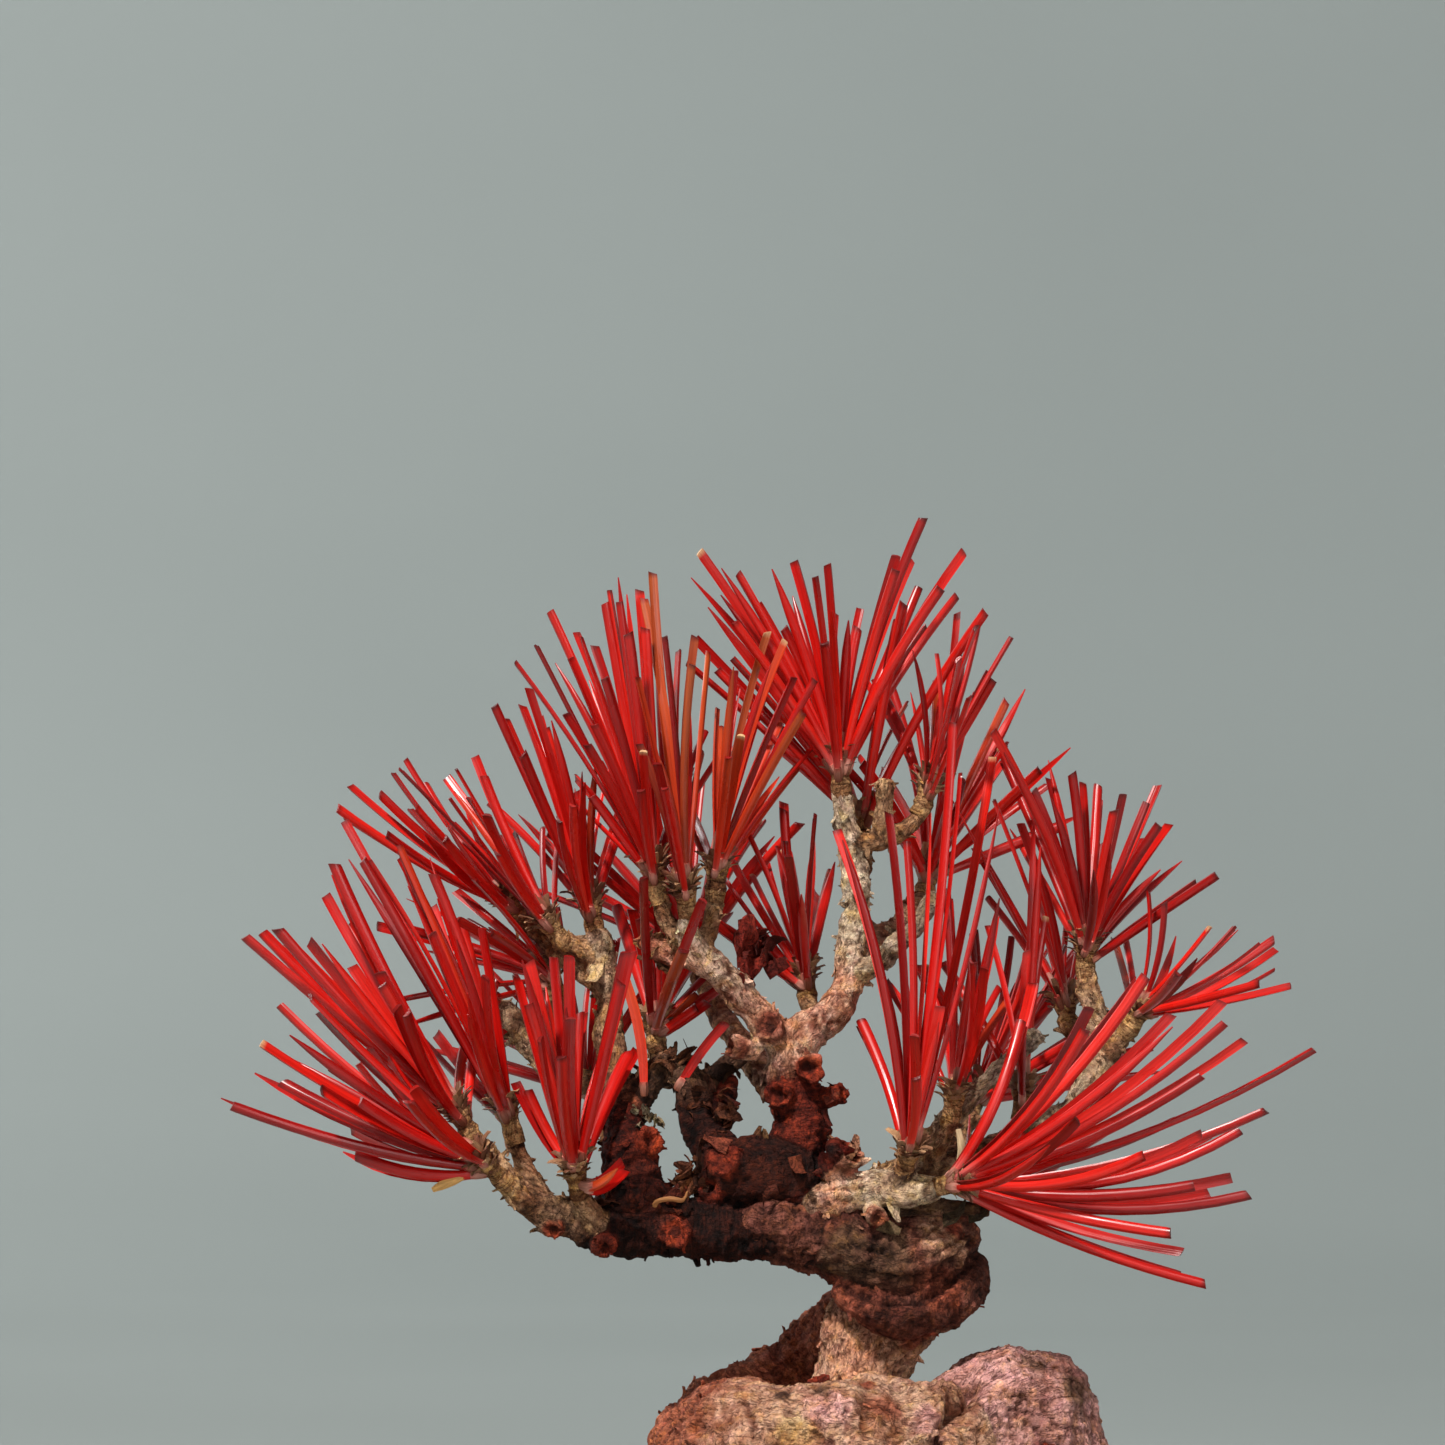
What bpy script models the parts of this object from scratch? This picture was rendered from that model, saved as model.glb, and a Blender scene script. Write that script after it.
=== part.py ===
"""A small Japanese black pine bonsai with trimmed, dyed needles, in a plain clay pot.

Lengths in the tables are millimetres. X runs to the right and Z up as the tree is seen from its
front, Y runs away from the viewer, and the origin lies under the middle of the tree.
"""

import math
import random

import bmesh
import bpy
import numpy as np
from mathutils import Matrix, Vector, kdtree, noise

MM = 0.001
SEED = 7

# The gap kept between neighbouring pieces, and a little more where a rough surface meets its socket.
GAP = 0.3
SOCKET_GAP = 0.7

# The pot: a tapered box with round corners, a lip, four feet and two drain holes.
POT_LENGTH = 102.0
POT_DEPTH = 76.0
POT_HEIGHT = 32.0
POT_CORNER = 15.0
POT_TAPER = 0.88
FOOT_HEIGHT = 4.0
FOOT_SIZE = 15.0
FOOT_CORNER = 3.0
FOOT_INSET = 11.0
FOOT_SPREAD = 1.12
FOOT_SUNK = 1.5
LIP_HEIGHT = 5.0
LIP_OUT = 1.8
LIP_SLOPE = 0.6
WALL = 4.5
FLOOR = 4.5
DRAIN_RADIUS = 5.5
DRAIN_OFFSET = 24.0
DRAIN_SIDES = 16
CORNER_STEPS = 5

# The plastic screens that lie over the drain holes.
SCREEN_SIZE = 17.0
SCREEN_THICK = 1.0
SCREEN_MESH = 3
SCREEN_EDGE = 0.4
SCREEN_HOLE = 0.6

# The soil, heaped up towards the foot of the trunk, and how lumpy its surface is.
SOIL_EDGE_BELOW_RIM = 2.5
SOIL_PEAK = 38.0
SOIL_GRAIN = 0.7
SOIL_GRAIN_SIZE = 3.0
SOIL_RINGS = 7
HEAP_X = 20.0
HEAP_Y = -1.0
HEAP_WIDE = 34.0
HEAP_DEEP = 24.0

# Lumps of bark: their height and size for a limb, as a share of its widest radius plus a little.
LUMP_SHARE = 0.16
LUMP_LEAST = 0.25
LUMP_SIZE_SHARE = 0.5
LUMP_SIZE_LEAST = 1.5
SCAR_SIDES = 6
SCAR_ROOT = 1.5
SHARP_EDGE = 50.0

# Needles: the radius of one along its length, how many straight stretches stand for its curve, its
# full length, and how strongly it first follows its shoot.
NEEDLE_RADIUS = 0.7
NEEDLE_ROOT = 0.5
NEEDLE_TIP = 0.5
NEEDLE_SIDES = 3
NEEDLE_STRETCHES = 2
NEEDLE_LENGTH = 31.0
SHOOT_PULL = 0.24

# The slim core of a spray, and the share of it that bears needles.
CORE_RADIUS = 1.5
CORE_SIDES = 5
CORE_BUD = 1.6
CORE_START = 0.8
ROOT_ZONE = 0.85
ROOT_OFFSET = 0.4

# How far towards or away from the viewer a needle points, as a share of its length seen from the front.
DEPTH_SHARE = 0.5
LEAST_DEPTH = 0.35

# Needles that are hidden from the front or point at the viewer: how many a spray gets at most.
BACK_FILL = 3
FRONT_FILL = 1
FILL_FAN = 0.45
FILL_DEPTH = 0.85

# Keeping needles apart: places checked along each, rounds of bending, and how far one may be bent.
SAMPLES = 31
ROUNDS = 400
ROUNDS_PER_SIDE = 40
BEND_STEP = 0.6
MOST_BEND = 6.0
MOST_TIP_BEND = 9.6
DEEPEST_TIP = 39.0
STILL_SHORT = 0.15
ROOT_FREE = 3.2

# The room that the wood takes when needles are kept off it: its radius with the lumps.
WOOD_SWELL = 1.12
WOOD_EXTRA = 0.2
WOOD_STEP = 1.2

# The wood, as (x, y, z, radius) along the middle of each limb. The trunk rises on the right, folds
# over to the front, runs left, turns round to the back and climbs right again into its upper coil.
LIMBS = {
    "foot": (14, 4.2, (
        (33, 3, 22, 9.8), (33.2, 3, 30, 10.2), (32.6, 2.6, 39, 10.2), (31.2, 1.6, 45, 9.4),
        (30.4, 0, 49, 8.6),
        (27, -3.4, 49.6, 7.8), (21, -7, 47, 7.6), (14, -9, 46, 6.5))),
    "fold": (15, 4.0, (
        (21.6, -10, 46.4, 4.6), (19.8, -10.4, 46.4, 8.0), (15.4, -11, 46, 9.5), (8, -11.6, 45.7, 9.5),
        (0, -10.5, 45.6, 9.3), (-4, -6, 45.6, 8.7),
        (-5.6, 1, 46.6, 8.0), (-3.6, 8, 48, 6.9), (2, 11, 51.2, 6.4), (7.4, 11, 55.4, 6.2),
        (12.2, 9.6, 60.7, 6.0), (16.4, 6, 65.2, 6.3), (18.7, 0.4, 67.4, 6.7), (15, -4, 69, 6.2),
        (9.5, -6, 70.7, 5.4), (4, -6.5, 72.4, 4.2), (-2, -7, 72.5, 3.1))),
    "strand": (12, 3.4, (
        (9.5, -3.5, 47, 5.4), (10.2, -2.5, 54, 5.2), (12.5, -1.5, 60, 5.9), (16.5, -1, 66.5, 7.6))),
    "coil_ridge": (6, 3.6, (
        (8.2, -8, 66.6, 1.6), (12, -8.6, 63.6, 2.4), (17, -7.4, 63, 2.7), (22, -4.2, 65, 2.8),
        (24, 0.5, 68, 2.2))),
    "coil_top": (6, 3.6, (
        (7, -8.5, 69.5, 1.7), (13, -9, 68.2, 2.3), (19, -7, 69.6, 2.6), (22.4, -2.5, 71.6, 2.6),
        (20, 2.5, 73, 1.8))),
    "low_branch": (8, 3.4, (
        (6, -6, 71.6, 4.2), (2.6, -6.6, 72.7, 3.5), (-3.2, -7.2, 72.4, 3.2), (-9, -8, 72.8, 3.1),
        (-15, -9, 72.5, 2.9),
        (-19.7, -10, 72.9, 2.7), (-23.8, -11.5, 74.4, 2.1), (-27, -13, 75.6, 1.7), (-30, -14.8, 78, 1.4))),
    "low_left_twig": (5, 3.6, ((-25, -11.4, 75, 1.6), (-28, -8.6, 79, 1.2), (-29.6, -8.4, 83.4, 1.1))),
    "low_tip_twig": (5, 3.6, ((-26.5, -12, 75.6, 1.5), (-30.6, -11, 79.6, 1.2), (-34.4, -11.4, 83.6, 1.1))),
    "low_front_twig": (5, 3.6, ((-20, -11, 73, 1.8), (-21.8, -13.8, 76.8, 1.3))),
    "stem": (9, 3.4, (
        (4, -6, 71, 4.2), (3.8, -5.6, 74.5, 3.9), (3.8, -5, 80, 3.3), (3.6, -4.4, 86, 3.0),
        (2.8, -3.8, 92, 2.7), (1.8, -3.4, 96, 2.4))),
    "left_fork": (7, 3.0, (
        (2, -3.5, 94.5, 2.2), (-1.5, -4, 98.2, 2.0), (-3.8, -4.6, 101, 1.9), (-6.5, -5.4, 103.6, 1.9),
        (-8.9, -6.4, 105.6, 1.7), (-9.2, -7.4, 108.8, 1.2))),
    "centre_left_twig": (5, 3.6, (
        (-8.6, -5.8, 105.2, 1.4), (-11.8, -6, 108.6, 1.1), (-12.8, -6.4, 111.6, 1.0))),
    "centre_right_twig": (5, 3.6, (
        (-8.2, -5.4, 105, 1.4), (-6.6, -3.8, 108.6, 1.1), (-6.2, -3.6, 111.6, 1.0))),
    "left_stub": (5, 3.6, ((-7.6, -5.6, 104, 1.5), (-11.5, -5.2, 105, 1.4), (-14.4, -5, 106.4, 1.1))),
    "right_fork": (7, 3.4, (
        (2.2, -3.6, 93.5, 2.6), (4.6, -3.2, 95.6, 2.4), (7.6, -2.2, 98, 2.2), (9.4, -1.2, 101.2, 1.9),
        (9.9, -0.4, 106.4, 1.7), (10.6, 0.4, 112.3, 1.8), (9.9, 1.2, 117, 1.6), (9.2, 1.6, 121, 1.4),
        (8.8, 1.8, 123.4, 1.2))),
    "dead_branchlet": (5, 3.6, (
        (9.7, -1, 102.3, 1.5), (13.2, -2, 104, 1.4), (16.2, -2.6, 107, 1.2), (19.4, -3, 110.8, 1.0))),
    "top_right_twig": (5, 3.6, (
        (10, 1, 117.4, 1.3), (13.6, 1.8, 118.2, 1.2), (16.4, 2.4, 119.6, 1.1), (18, 2.8, 121.6, 1.0))),
    "cut_stub": (5, 3.6, ((13.2, 1.6, 118.2, 1.1), (13.8, 1.4, 121.4, 1.1), (13.9, 1.2, 124.4, 1.0))),
    "top_back_twig": (5, 3.6, ((10.4, 0.8, 113.4, 1.3), (11.4, 4, 115.4, 1.2), (11.4, 6.6, 117.6, 1.1))),
    "thick_stub": (10, 3.0, (
        (4, -5.6, 79, 3.5), (0, -6.8, 79.6, 3.9), (-3.6, -7.8, 79.8, 3.6), (-6.6, -8.6, 80.2, 2.5))),
    "link": (7, 3.4, (
        (-3.5, -6.4, 79.6, 2.6), (-7.2, -4.4, 82.8, 2.3), (-8.6, -2.6, 86.4, 2.1), (-9.4, -1.4, 89.8, 2.0),
        (-12.2, -0.8, 91, 1.9), (-15, -1.4, 88.6, 1.9), (-17, -2.4, 86, 1.6))),
    "inner_shard": (5, 3.6, ((-7.4, -3.4, 84, 1.6), (-5.6, -2, 86.8, 1.5), (-4.6, -0.8, 89.4, 1.1))),
    "inner_spur": (5, 3.6, ((-8.8, -2, 87.4, 1.6), (-6.2, -0.4, 90.4, 1.4), (-3.2, 0.4, 92.8, 1.1))),
    "riser": (8, 3.6, (
        (-15.8, -8.8, 73, 3.2), (-16, -7.6, 77.6, 3.7), (-16.6, -5.2, 82.4, 2.7), (-17.4, -1.8, 87.8, 2.2),
        (-18.4, 0.4, 92, 1.8), (-18.9, 1.4, 99, 1.6), (-19.8, 2, 105.4, 1.4), (-20.3, 2.4, 107.4, 1.2))),
    "left_twig": (5, 3.6, (
        (-19.6, 1.9, 104, 1.3), (-22.2, 1.6, 105.4, 1.2), (-24, 1, 106.2, 1.1))),
    "far_left_twig": (5, 3.6, (
        (-19.2, 1.6, 101, 1.3), (-23.4, 4.4, 103.6, 1.2), (-26.6, 5.6, 106.4, 1.1), (-29, 6, 108.4, 1.0))),
    "inner_left_twig": (5, 3.6, ((-11.4, 0.4, 89.4, 1.4), (-12.4, 2, 91.6, 1.2), (-13, 2.8, 93.6, 1.1))),
    "broken_stick": (5, 4, (
        (-18, 0, 89.6, 1.6), (-22.4, 2.8, 89.8, 1.5), (-26, 4.6, 91.4, 1.5), (-28.6, 5.4, 94.6, 1.4),
        (-31, 6, 98, 1.2))),
    "broken_spur": (5, 3.6, ((-25.4, 4.4, 91, 1.3), (-24.8, 6, 96, 1.2), (-25, 6.6, 99.6, 1.1))),
    "light_branch": (8, 2.8, (
        (4.5, -6.6, 74, 3.2), (7.6, -7.6, 75.9, 2.7), (12, -9, 77.5, 2.2), (16.6, -10.6, 77.6, 2.0),
        (19, -11.6, 77.8, 1.6))),
    "light_knob": (6, 2.4, ((15.2, -10, 77.6, 1.9), (15.8, -11.4, 79.4, 1.3))),
    "bark_shard": (4, 6.0, ((14, -8, 75.6, 1.6), (20, -8.6, 75.4, 1.2), (26, -8.8, 75, 0.7))),
    "grey_stick": (5, 4.5, (
        (10, -5.6, 76.6, 1.6), (15.6, -2, 79.4, 1.3), (22.4, 0.6, 86.4, 1.2), (27.2, 2, 91, 1.2),
        (31.4, 2.8, 95, 1.1))),
    "right_branch": (7, 4.0, (
        (9, -4, 74.4, 2.6), (12.6, -1.4, 77.4, 2.3), (20, 2.4, 79.8, 2.0), (27.4, 5.4, 81.7, 1.8),
        (33.2, 8, 84, 1.7),
        (37.4, 9.6, 87.8, 1.6), (40, 10.4, 93.4, 1.6), (38.6, 10.4, 98.4, 1.4), (37.8, 10.4, 102, 1.3))),
    "right_mid_twig": (5, 3.6, ((39.6, 10.4, 92, 1.4), (42.6, 8.8, 95.4, 1.1))),
    "right_back_twig": (5, 3.6, ((39.4, 10.4, 91.2, 1.3), (37.4, 13, 93.4, 1.2), (36, 15, 95.8, 1.1))),
    "inner_twig": (5, 3.6, ((5, -3, 95.6, 1.5), (5.4, 1.4, 96.6, 1.3), (4.8, 5, 99, 1.1))),
    "right_inner_twig": (5, 3.6, ((18, 0.6, 79.4, 1.3), (20, -2.4, 82.4, 1.2), (21.4, -4, 85.4, 1.1))),
    "right_low_twig": (5, 3.6, ((27, 5.2, 81.6, 1.3), (29.2, 5.2, 83.4, 1.2), (30, 5.2, 85.6, 1.1))),
    "back_left_limb": (6, 5, (
        (-9, -7, 73, 2.2), (-11, -2, 74.4, 2.2), (-13.6, 4, 76.4, 2.0), (-17, 11, 80.4, 1.7),
        (-20, 17, 85.4, 1.4))),
    "back_mid_limb": (6, 5, (
        (3.5, -4, 85, 2.0), (1.4, 2, 88, 1.9), (-2, 8, 92.6, 1.7), (-5.6, 14.4, 97.4, 1.5),
        (-8, 19, 102, 1.3))),
    "back_low_limb": (6, 5, (
        (16, 3, 70, 2.6), (16.4, 8, 73.4, 2.3), (18, 12, 76.6, 2.0), (21, 17, 80, 1.7),
        (24, 21.6, 84.6, 1.4))),
    "back_right_limb": (6, 4.5, (
        (9.8, -0.6, 104, 1.7), (12.2, 5, 105.8, 1.6), (16, 12.4, 108, 1.4), (18.6, 18, 111.4, 1.2))),
    "root_right": (7, 4.0, ((32, 3, 34, 5), (38.6, 3.6, 33, 3.8), (42, 4.6, 25.6, 1.8))),
    "root_front": (7, 4.0, ((33, -1, 34, 5), (36, -10, 33, 3.6), (38, -18, 25, 2.0))),
    "root_back": (7, 4.0, ((31, 6, 34, 5), (26, 15, 33, 3.6), (22, 22, 25, 2.0))),
    "root_left": (7, 4.0, ((28, 4, 32, 5), (17, 5, 31, 3.2), (9, 6, 25, 1.8))),
}
UNDERGROUND = ("foot", "fold", "root_right", "root_front", "root_back", "root_left")

# Old cuts and knobs on the wood: where each stands, the way it faces, its radius and how far out.
SCARS = (
    ((-10.7, -10.4, 72.6), (-0.1, -1, 0), 1.5, 1.6), ((4.6, -7.2, 91.6), (0.3, -1, 0.1), 1.4, 1.5),
    ((1.6, -6.6, 88.4), (-0.4, -1, 0), 1.4, 1.4), ((0.6, -5.6, 96), (-0.4, -0.9, 0.4), 1.5, 1.4),
    ((-2.4, -5.2, 93.6), (-1, -0.5, 0.2), 1.2, 2.4), ((6.4, -4.6, 87.8), (1, -0.3, 0.3), 1.1, 2.6),
    ((12.4, -10.6, 74.6), (0.3, -1, -0.3), 1.1, 1.4), ((8.2, -8.4, 80), (0.5, -0.5, 0.8), 1.9, 2.6),
    ((-19, -12.6, 71.6), (0, -0.8, -0.6), 1.1, 1.3), ((-24.6, -13, 73.4), (-0.4, -0.8, -0.5), 1.0, 1.3),
    ((6.2, -8.5, 54.4), (-0.3, -0.3, 1), 1.2, 1.0), ((21.6, -5.4, 72), (0.5, -1, 0.6), 1.1, 0.9),
    ((-6.4, -8.6, 76.4), (-0.3, -0.5, 1), 1.3, 1.8),
    ((3, -13, 36.8), (0, -0.8, -0.5), 1.4, 1.0), ((32, -8.4, 46), (0.3, -1, 0.2), 1.5, 1.0),
    ((-14.4, -7.2, 82.6), (0.6, -0.7, 0.4), 1.4, 1.4), ((-5, -10.4, 80.8), (-0.5, -1, 0.3), 1.7, 1.0),
)

# The sprays: the limb that carries each, the crown of its shoot, and its needle tips seen from the front.
SPRAYS = {
    "left_tip": ("low_branch", (-33.6, -16.8, 81.6), (
        (-64, 88.5), (-49.5, 82), (-51.5, 89.5), (-56, 93), (-58.5, 95), (-57, 99), (-47.5, 92.5),
        (-60, 91))),
    "left_low": ("low_tip_twig", (-36.4, -11.6, 87), (
        (-61, 107), (-59, 107.5), (-57, 108), (-49, 108.5), (-49, 103), (-50.5, 115.5), (-45, 103))),
    "left_mid": ("low_left_twig", (-30.6, -8.4, 87), (
        (-49, 116), (-49.5, 120.5), (-46.5, 116), (-42.5, 115), (-43, 117), (-38.5, 111.5), (-39, 107.5))),
    "front_left": ("low_front_twig", (-22.6, -15.4, 80.4), (
        (-28.5, 104.5), (-25, 104.5), (-23, 105), (-26, 101), (-16.5, 105.5), (-21.5, 98), (-16.5, 80),
        (-29.5, 90))),
    "inner_left": ("inner_left_twig", (-13.4, 3.4, 97), (
        (-16, 110), (-14.5, 107), (-7, 99), (-5, 101))),
    "left_high_a": ("far_left_twig", (-31, 6.4, 111.4), (
        (-50.5, 122), (-49.5, 124.5), (-45.5, 123.5), (-44.5, 126))),
    "left_high_b": ("left_twig", (-26, 0.4, 108.8), (
        (-43, 126.5), (-38, 125.5), (-36.5, 126.5), (-34.5, 128), (-35, 123), (-37.5, 120))),
    "left_top": ("riser", (-21, 2.8, 111), (
        (-32, 134), (-29, 134), (-28, 136), (-27, 132.5), (-20, 128), (-24, 124))),
    "centre_left": ("centre_left_twig", (-13.4, -7, 115.4), (
        (-25.5, 145), (-29.5, 139), (-27, 141), (-25, 139), (-23, 139.5), (-21, 137), (-23.5, 133),
        (-19, 146),
        (-18.5, 147.5), (-17.5, 149), (-16.5, 147), (-15, 147.5), (-21.5, 125))),
    "centre": ("left_fork", (-9.8, -9, 113), (
        (-14.5, 146.5), (-13.5, 149.5), (-12, 142), (-10.5, 140.5), (-8.5, 142), (-7, 140), (-15, 129.5))),
    "centre_right": ("centre_right_twig", (-5.9, -3.6, 115.4), (
        (2, 141.5), (5, 139.5), (5.5, 137), (9, 133), (-4, 138.5), (-0.5, 136))),
    "top": ("right_fork", (8.4, 2, 127.6), (
        (-8, 152), (-9, 149), (-7, 145.5), (-5.5, 147), (-3.5, 149.5), (-1, 146), (0.5, 150),
        (3, 147), (7, 150.5), (8, 145), (9.5, 144), (11, 145.5), (15, 151.5), (16, 149), (18.5, 156.5),
        (18, 148), (23, 152), (22.5, 147))),
    "top_low": ("top_back_twig", (11, 8.2, 121), (
        (25.5, 145), (-8.5, 142), (-9.5, 139), (-2.5, 134.5), (16, 146))),
    "top_right": ("top_right_twig", (19.2, 3.1, 125), (
        (28.5, 142), (22.5, 145), (17, 140.5), (20, 136), (26.5, 137))),
    "right_top": ("right_branch", (37.8, 10.3, 106), (
        (26.5, 131), (28, 129), (31.5, 124), (33.5, 127.5), (36, 126), (39.5, 124.5), (42, 123.5),
        (46.5, 124.5), (47.5, 120), (49.5, 115.5), (53, 114))),
    "right_mid": ("right_mid_twig", (44.2, 7.8, 98.2), (
        (55, 108), (60.5, 105), (58, 106), (60, 102.5), (61.5, 101), (49, 101.5), (45, 112))),
    "right_back": ("right_back_twig", (35.4, 16.2, 99), ((21.5, 123.5), (25, 117), (30, 120), (40, 114))),
    "right_up": ("light_knob", (16.4, -12.8, 82.2), (
        (8, 119.5), (14, 121.5), (19, 121.5), (21.5, 132), (22.5, 126), (13.5, 103), (20, 99))),
    "right_inner": ("right_inner_twig", (22, -4.8, 89), ((27, 111.5), (21, 112.5), (24, 104))),
    "right_in_low": ("right_low_twig", (30.2, 5.4, 89), ((26, 108), (31.5, 121), (33, 109))),
    "right_low": ("light_branch", (22.4, -12.6, 78.4), (
        (50, 84.5), (51, 82), (54, 79), (56, 77), (55, 84.5), (51, 66.5), (48, 70.5), (64, 94),
        (55.5, 95), (42, 91), (37, 99), (31, 101.5), (44, 102.5), (47, 98), (53, 99.5))),
    "inner": ("inner_twig", (4.4, 6.2, 102.6), ((-2, 118.5), (2, 122.5), (5.5, 121), (-2.5, 107.5),
    (-8, 109.5))),
    "back_left": ("back_left_limb", (-21.4, 19.4, 88.8), (
        (-40, 100), (-33, 107), (-25, 110), (-18, 106), (-13, 102), (-42, 93), (-30, 98))),
    "back_mid": ("back_mid_limb", (-9, 21, 105.4), (
        (-26, 119), (-20, 127), (-12, 131), (-4, 128), (4, 120), (-28, 112), (-10, 118))),
    "back_low": ("back_low_limb", (25.4, 23.8, 87.8), (
        (46, 98), (40, 106), (32, 109), (25, 107), (18, 102), (48, 90), (34, 98))),
    "back_right": ("back_right_limb", (19.6, 20, 114.6), (
        (36, 129), (31, 136), (23, 140), (15, 136), (8, 128), (38, 121), (22, 126))),
    "left_middle": ("broken_spur", (-26, 7.2, 103), ((-44, 96), (-41, 105), (-46, 108), (-37, 112))),
}

COLOURS = {
    "clay": ((0.17, 0.075, 0.045), 0.75),
    "soil": ((0.21, 0.12, 0.065), 0.95),
    "screen": ((0.03, 0.05, 0.035), 0.55),
    "bark": ((0.34, 0.14, 0.09), 0.8),
    "needle": ((0.45, 0.008, 0.008), 0.35),
}


def clear_scene():
    for thing in list(bpy.data.objects):
        bpy.data.objects.remove(thing, do_unlink=True)


def make_material(name):
    colour, roughness = COLOURS[name]
    material = bpy.data.materials.new(name)
    material.use_nodes = True
    shader = material.node_tree.nodes["Principled BSDF"]
    shader.inputs["Base Color"].default_value = (*colour, 1)
    shader.inputs["Roughness"].default_value = roughness
    shader.inputs["Metallic"].default_value = 0
    return material


def make_object(name, shape, material=None):
    """An object from a bmesh whose coordinates are millimetres."""
    bmesh.ops.recalc_face_normals(shape, faces=shape.faces)
    bmesh.ops.scale(shape, vec=(MM, MM, MM), verts=shape.verts)
    mesh = bpy.data.meshes.new(name)
    shape.to_mesh(mesh)
    shape.free()
    thing = bpy.data.objects.new(name, mesh)
    if material:
        mesh.materials.append(material)
    bpy.context.scene.collection.objects.link(thing)
    return thing


def combine(thing, others, operation):
    """One Boolean of a collection with the thing, applied, and the collection's objects removed."""
    group = bpy.data.collections.new(thing.name + "_operands")
    bpy.context.scene.collection.children.link(group)
    for other in others:
        group.objects.link(other)
    step = thing.modifiers.new("combine", "BOOLEAN")
    step.operation = operation
    step.operand_type = "COLLECTION"
    step.collection = group
    step.solver = "EXACT"
    view = bpy.context.evaluated_depsgraph_get()
    thing.data = bpy.data.meshes.new_from_object(thing.evaluated_get(view))
    thing.modifiers.clear()
    for other in others:
        bpy.data.objects.remove(other, do_unlink=True)
    bpy.data.collections.remove(group)
    keep_outside(thing.data)
    thing.data.shade_smooth()
    thing.data.set_sharp_from_angle(angle=math.radians(SHARP_EDGE))
    return thing


def keep_outside(mesh):
    """Fills hollows that a union sealed, and drops loose scraps: only the largest shell stays."""
    shape = bmesh.new()
    shape.from_mesh(mesh)
    left = set(shape.verts)
    shells = []
    while left:
        shell = {left.pop()}
        edge = list(shell)
        while edge:
            edge = [e.other_vert(v) for v in edge for e in v.link_edges]
            edge = list({v for v in edge if v in left})
            left.difference_update(edge)
            shell.update(edge)
        shells.append(shell)
    shells.sort(key=len)
    for shell in shells[:-1]:
        bmesh.ops.delete(shape, geom=list(shell), context="VERTS")
    shape.to_mesh(mesh)
    shape.free()


def smooth_stations(stops, step):
    """Points and radii on a Catmull-Rom curve through the stops, about one step apart."""
    rows = [Vector(stop) for stop in stops]
    rows = [2 * rows[0] - rows[1], *rows, 2 * rows[-1] - rows[-2]]
    stations = []
    for before, start, end, after in zip(rows, rows[1:], rows[2:], rows[3:]):
        count = max(1, round((end - start).to_3d().length / step))
        for i in range(count):
            t = i / count
            stations.append(0.5 * (
                2 * start + (end - before) * t + (2 * before - 5 * start + 4 * end - after) * t ** 2
                + (3 * start - before - 3 * end + after) * t ** 3))
    stations.append(rows[-2])
    return [(row.to_3d(), row.w) for row in stations]


def tube(stations, sides, grow=0.0):
    """A closed tube: a round face pulled from station to station, always square to the way."""
    ways = []
    for i in range(len(stations)):
        ahead = stations[min(i + 1, len(stations) - 1)][0]
        behind = stations[max(i - 1, 0)][0]
        ways.append((ahead - behind).normalized())
    turn = Vector((0, 0, 1)).rotation_difference(ways[0])
    frames = []
    for i, (place, radius) in enumerate(stations):
        if i:
            turn = ways[i - 1].rotation_difference(ways[i]) @ turn
        past = {0: -grow, len(stations) - 1: grow}.get(i, 0)
        place = place + ways[i] * past
        size = radius + grow
        frames.append(Matrix.LocRotScale(place, turn, Vector((size, size, size))))
    shape = bmesh.new()
    bmesh.ops.create_circle(shape, cap_ends=True, segments=sides, radius=1, matrix=frames[0])
    start_ring = shape.verts[:]
    end = shape.faces[:][0]
    for before, after in zip(frames, frames[1:]):
        pulled = bmesh.ops.extrude_face_region(shape, geom=[end, *end.edges])
        end = next(part for part in pulled["geom"] if isinstance(part, bmesh.types.BMFace))
        bmesh.ops.transform(shape, matrix=after @ before.inverted(), verts=end.verts)
    return shape, {*start_ring, *end.verts}


def roughen(shape, still, amount, size):
    """Lumps of bark: each point but those of the two cut ends moves in or out by smooth noise."""
    bmesh.ops.recalc_face_normals(shape, faces=shape.faces)
    shape.normal_update()
    moves = [(v, v.normal * amount * noise.noise(v.co / size)) for v in shape.verts if v not in still]
    for v, move in moves:
        v.co += move


def limb_tube(name, grow=0.0):
    sides, step, stops = LIMBS[name]
    shape, ends = tube(smooth_stations(stops, step), sides, grow)
    widest = max(stop[3] for stop in stops)
    roughen(shape, ends, LUMP_SHARE * widest + LUMP_LEAST, LUMP_SIZE_SHARE * widest + LUMP_SIZE_LEAST)
    return make_object("limb_" + name, shape)


def scar_tube(place, facing, radius, out):
    """A healed cut: a short knob with a rolled rim."""
    start = Vector(place)
    way = Vector(facing).normalized()
    rows = ((-SCAR_ROOT, 0.9), (0.8 * out, 1.15), (out, 0.75))
    stations = [(start + way * far, radius * wide) for far, wide in rows]
    return make_object("scar", tube(stations, SCAR_SIDES)[0])


def build_tree(material):
    names = list(LIMBS)
    tree = limb_tube(names[0])
    others = [limb_tube(name) for name in names[1:]]
    others += [scar_tube(*scar) for scar in SCARS]
    combine(tree, others, "UNION")
    tree.name = "trunk_and_branches"
    tree.data.materials.clear()
    tree.data.materials.append(material)
    return tree


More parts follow.
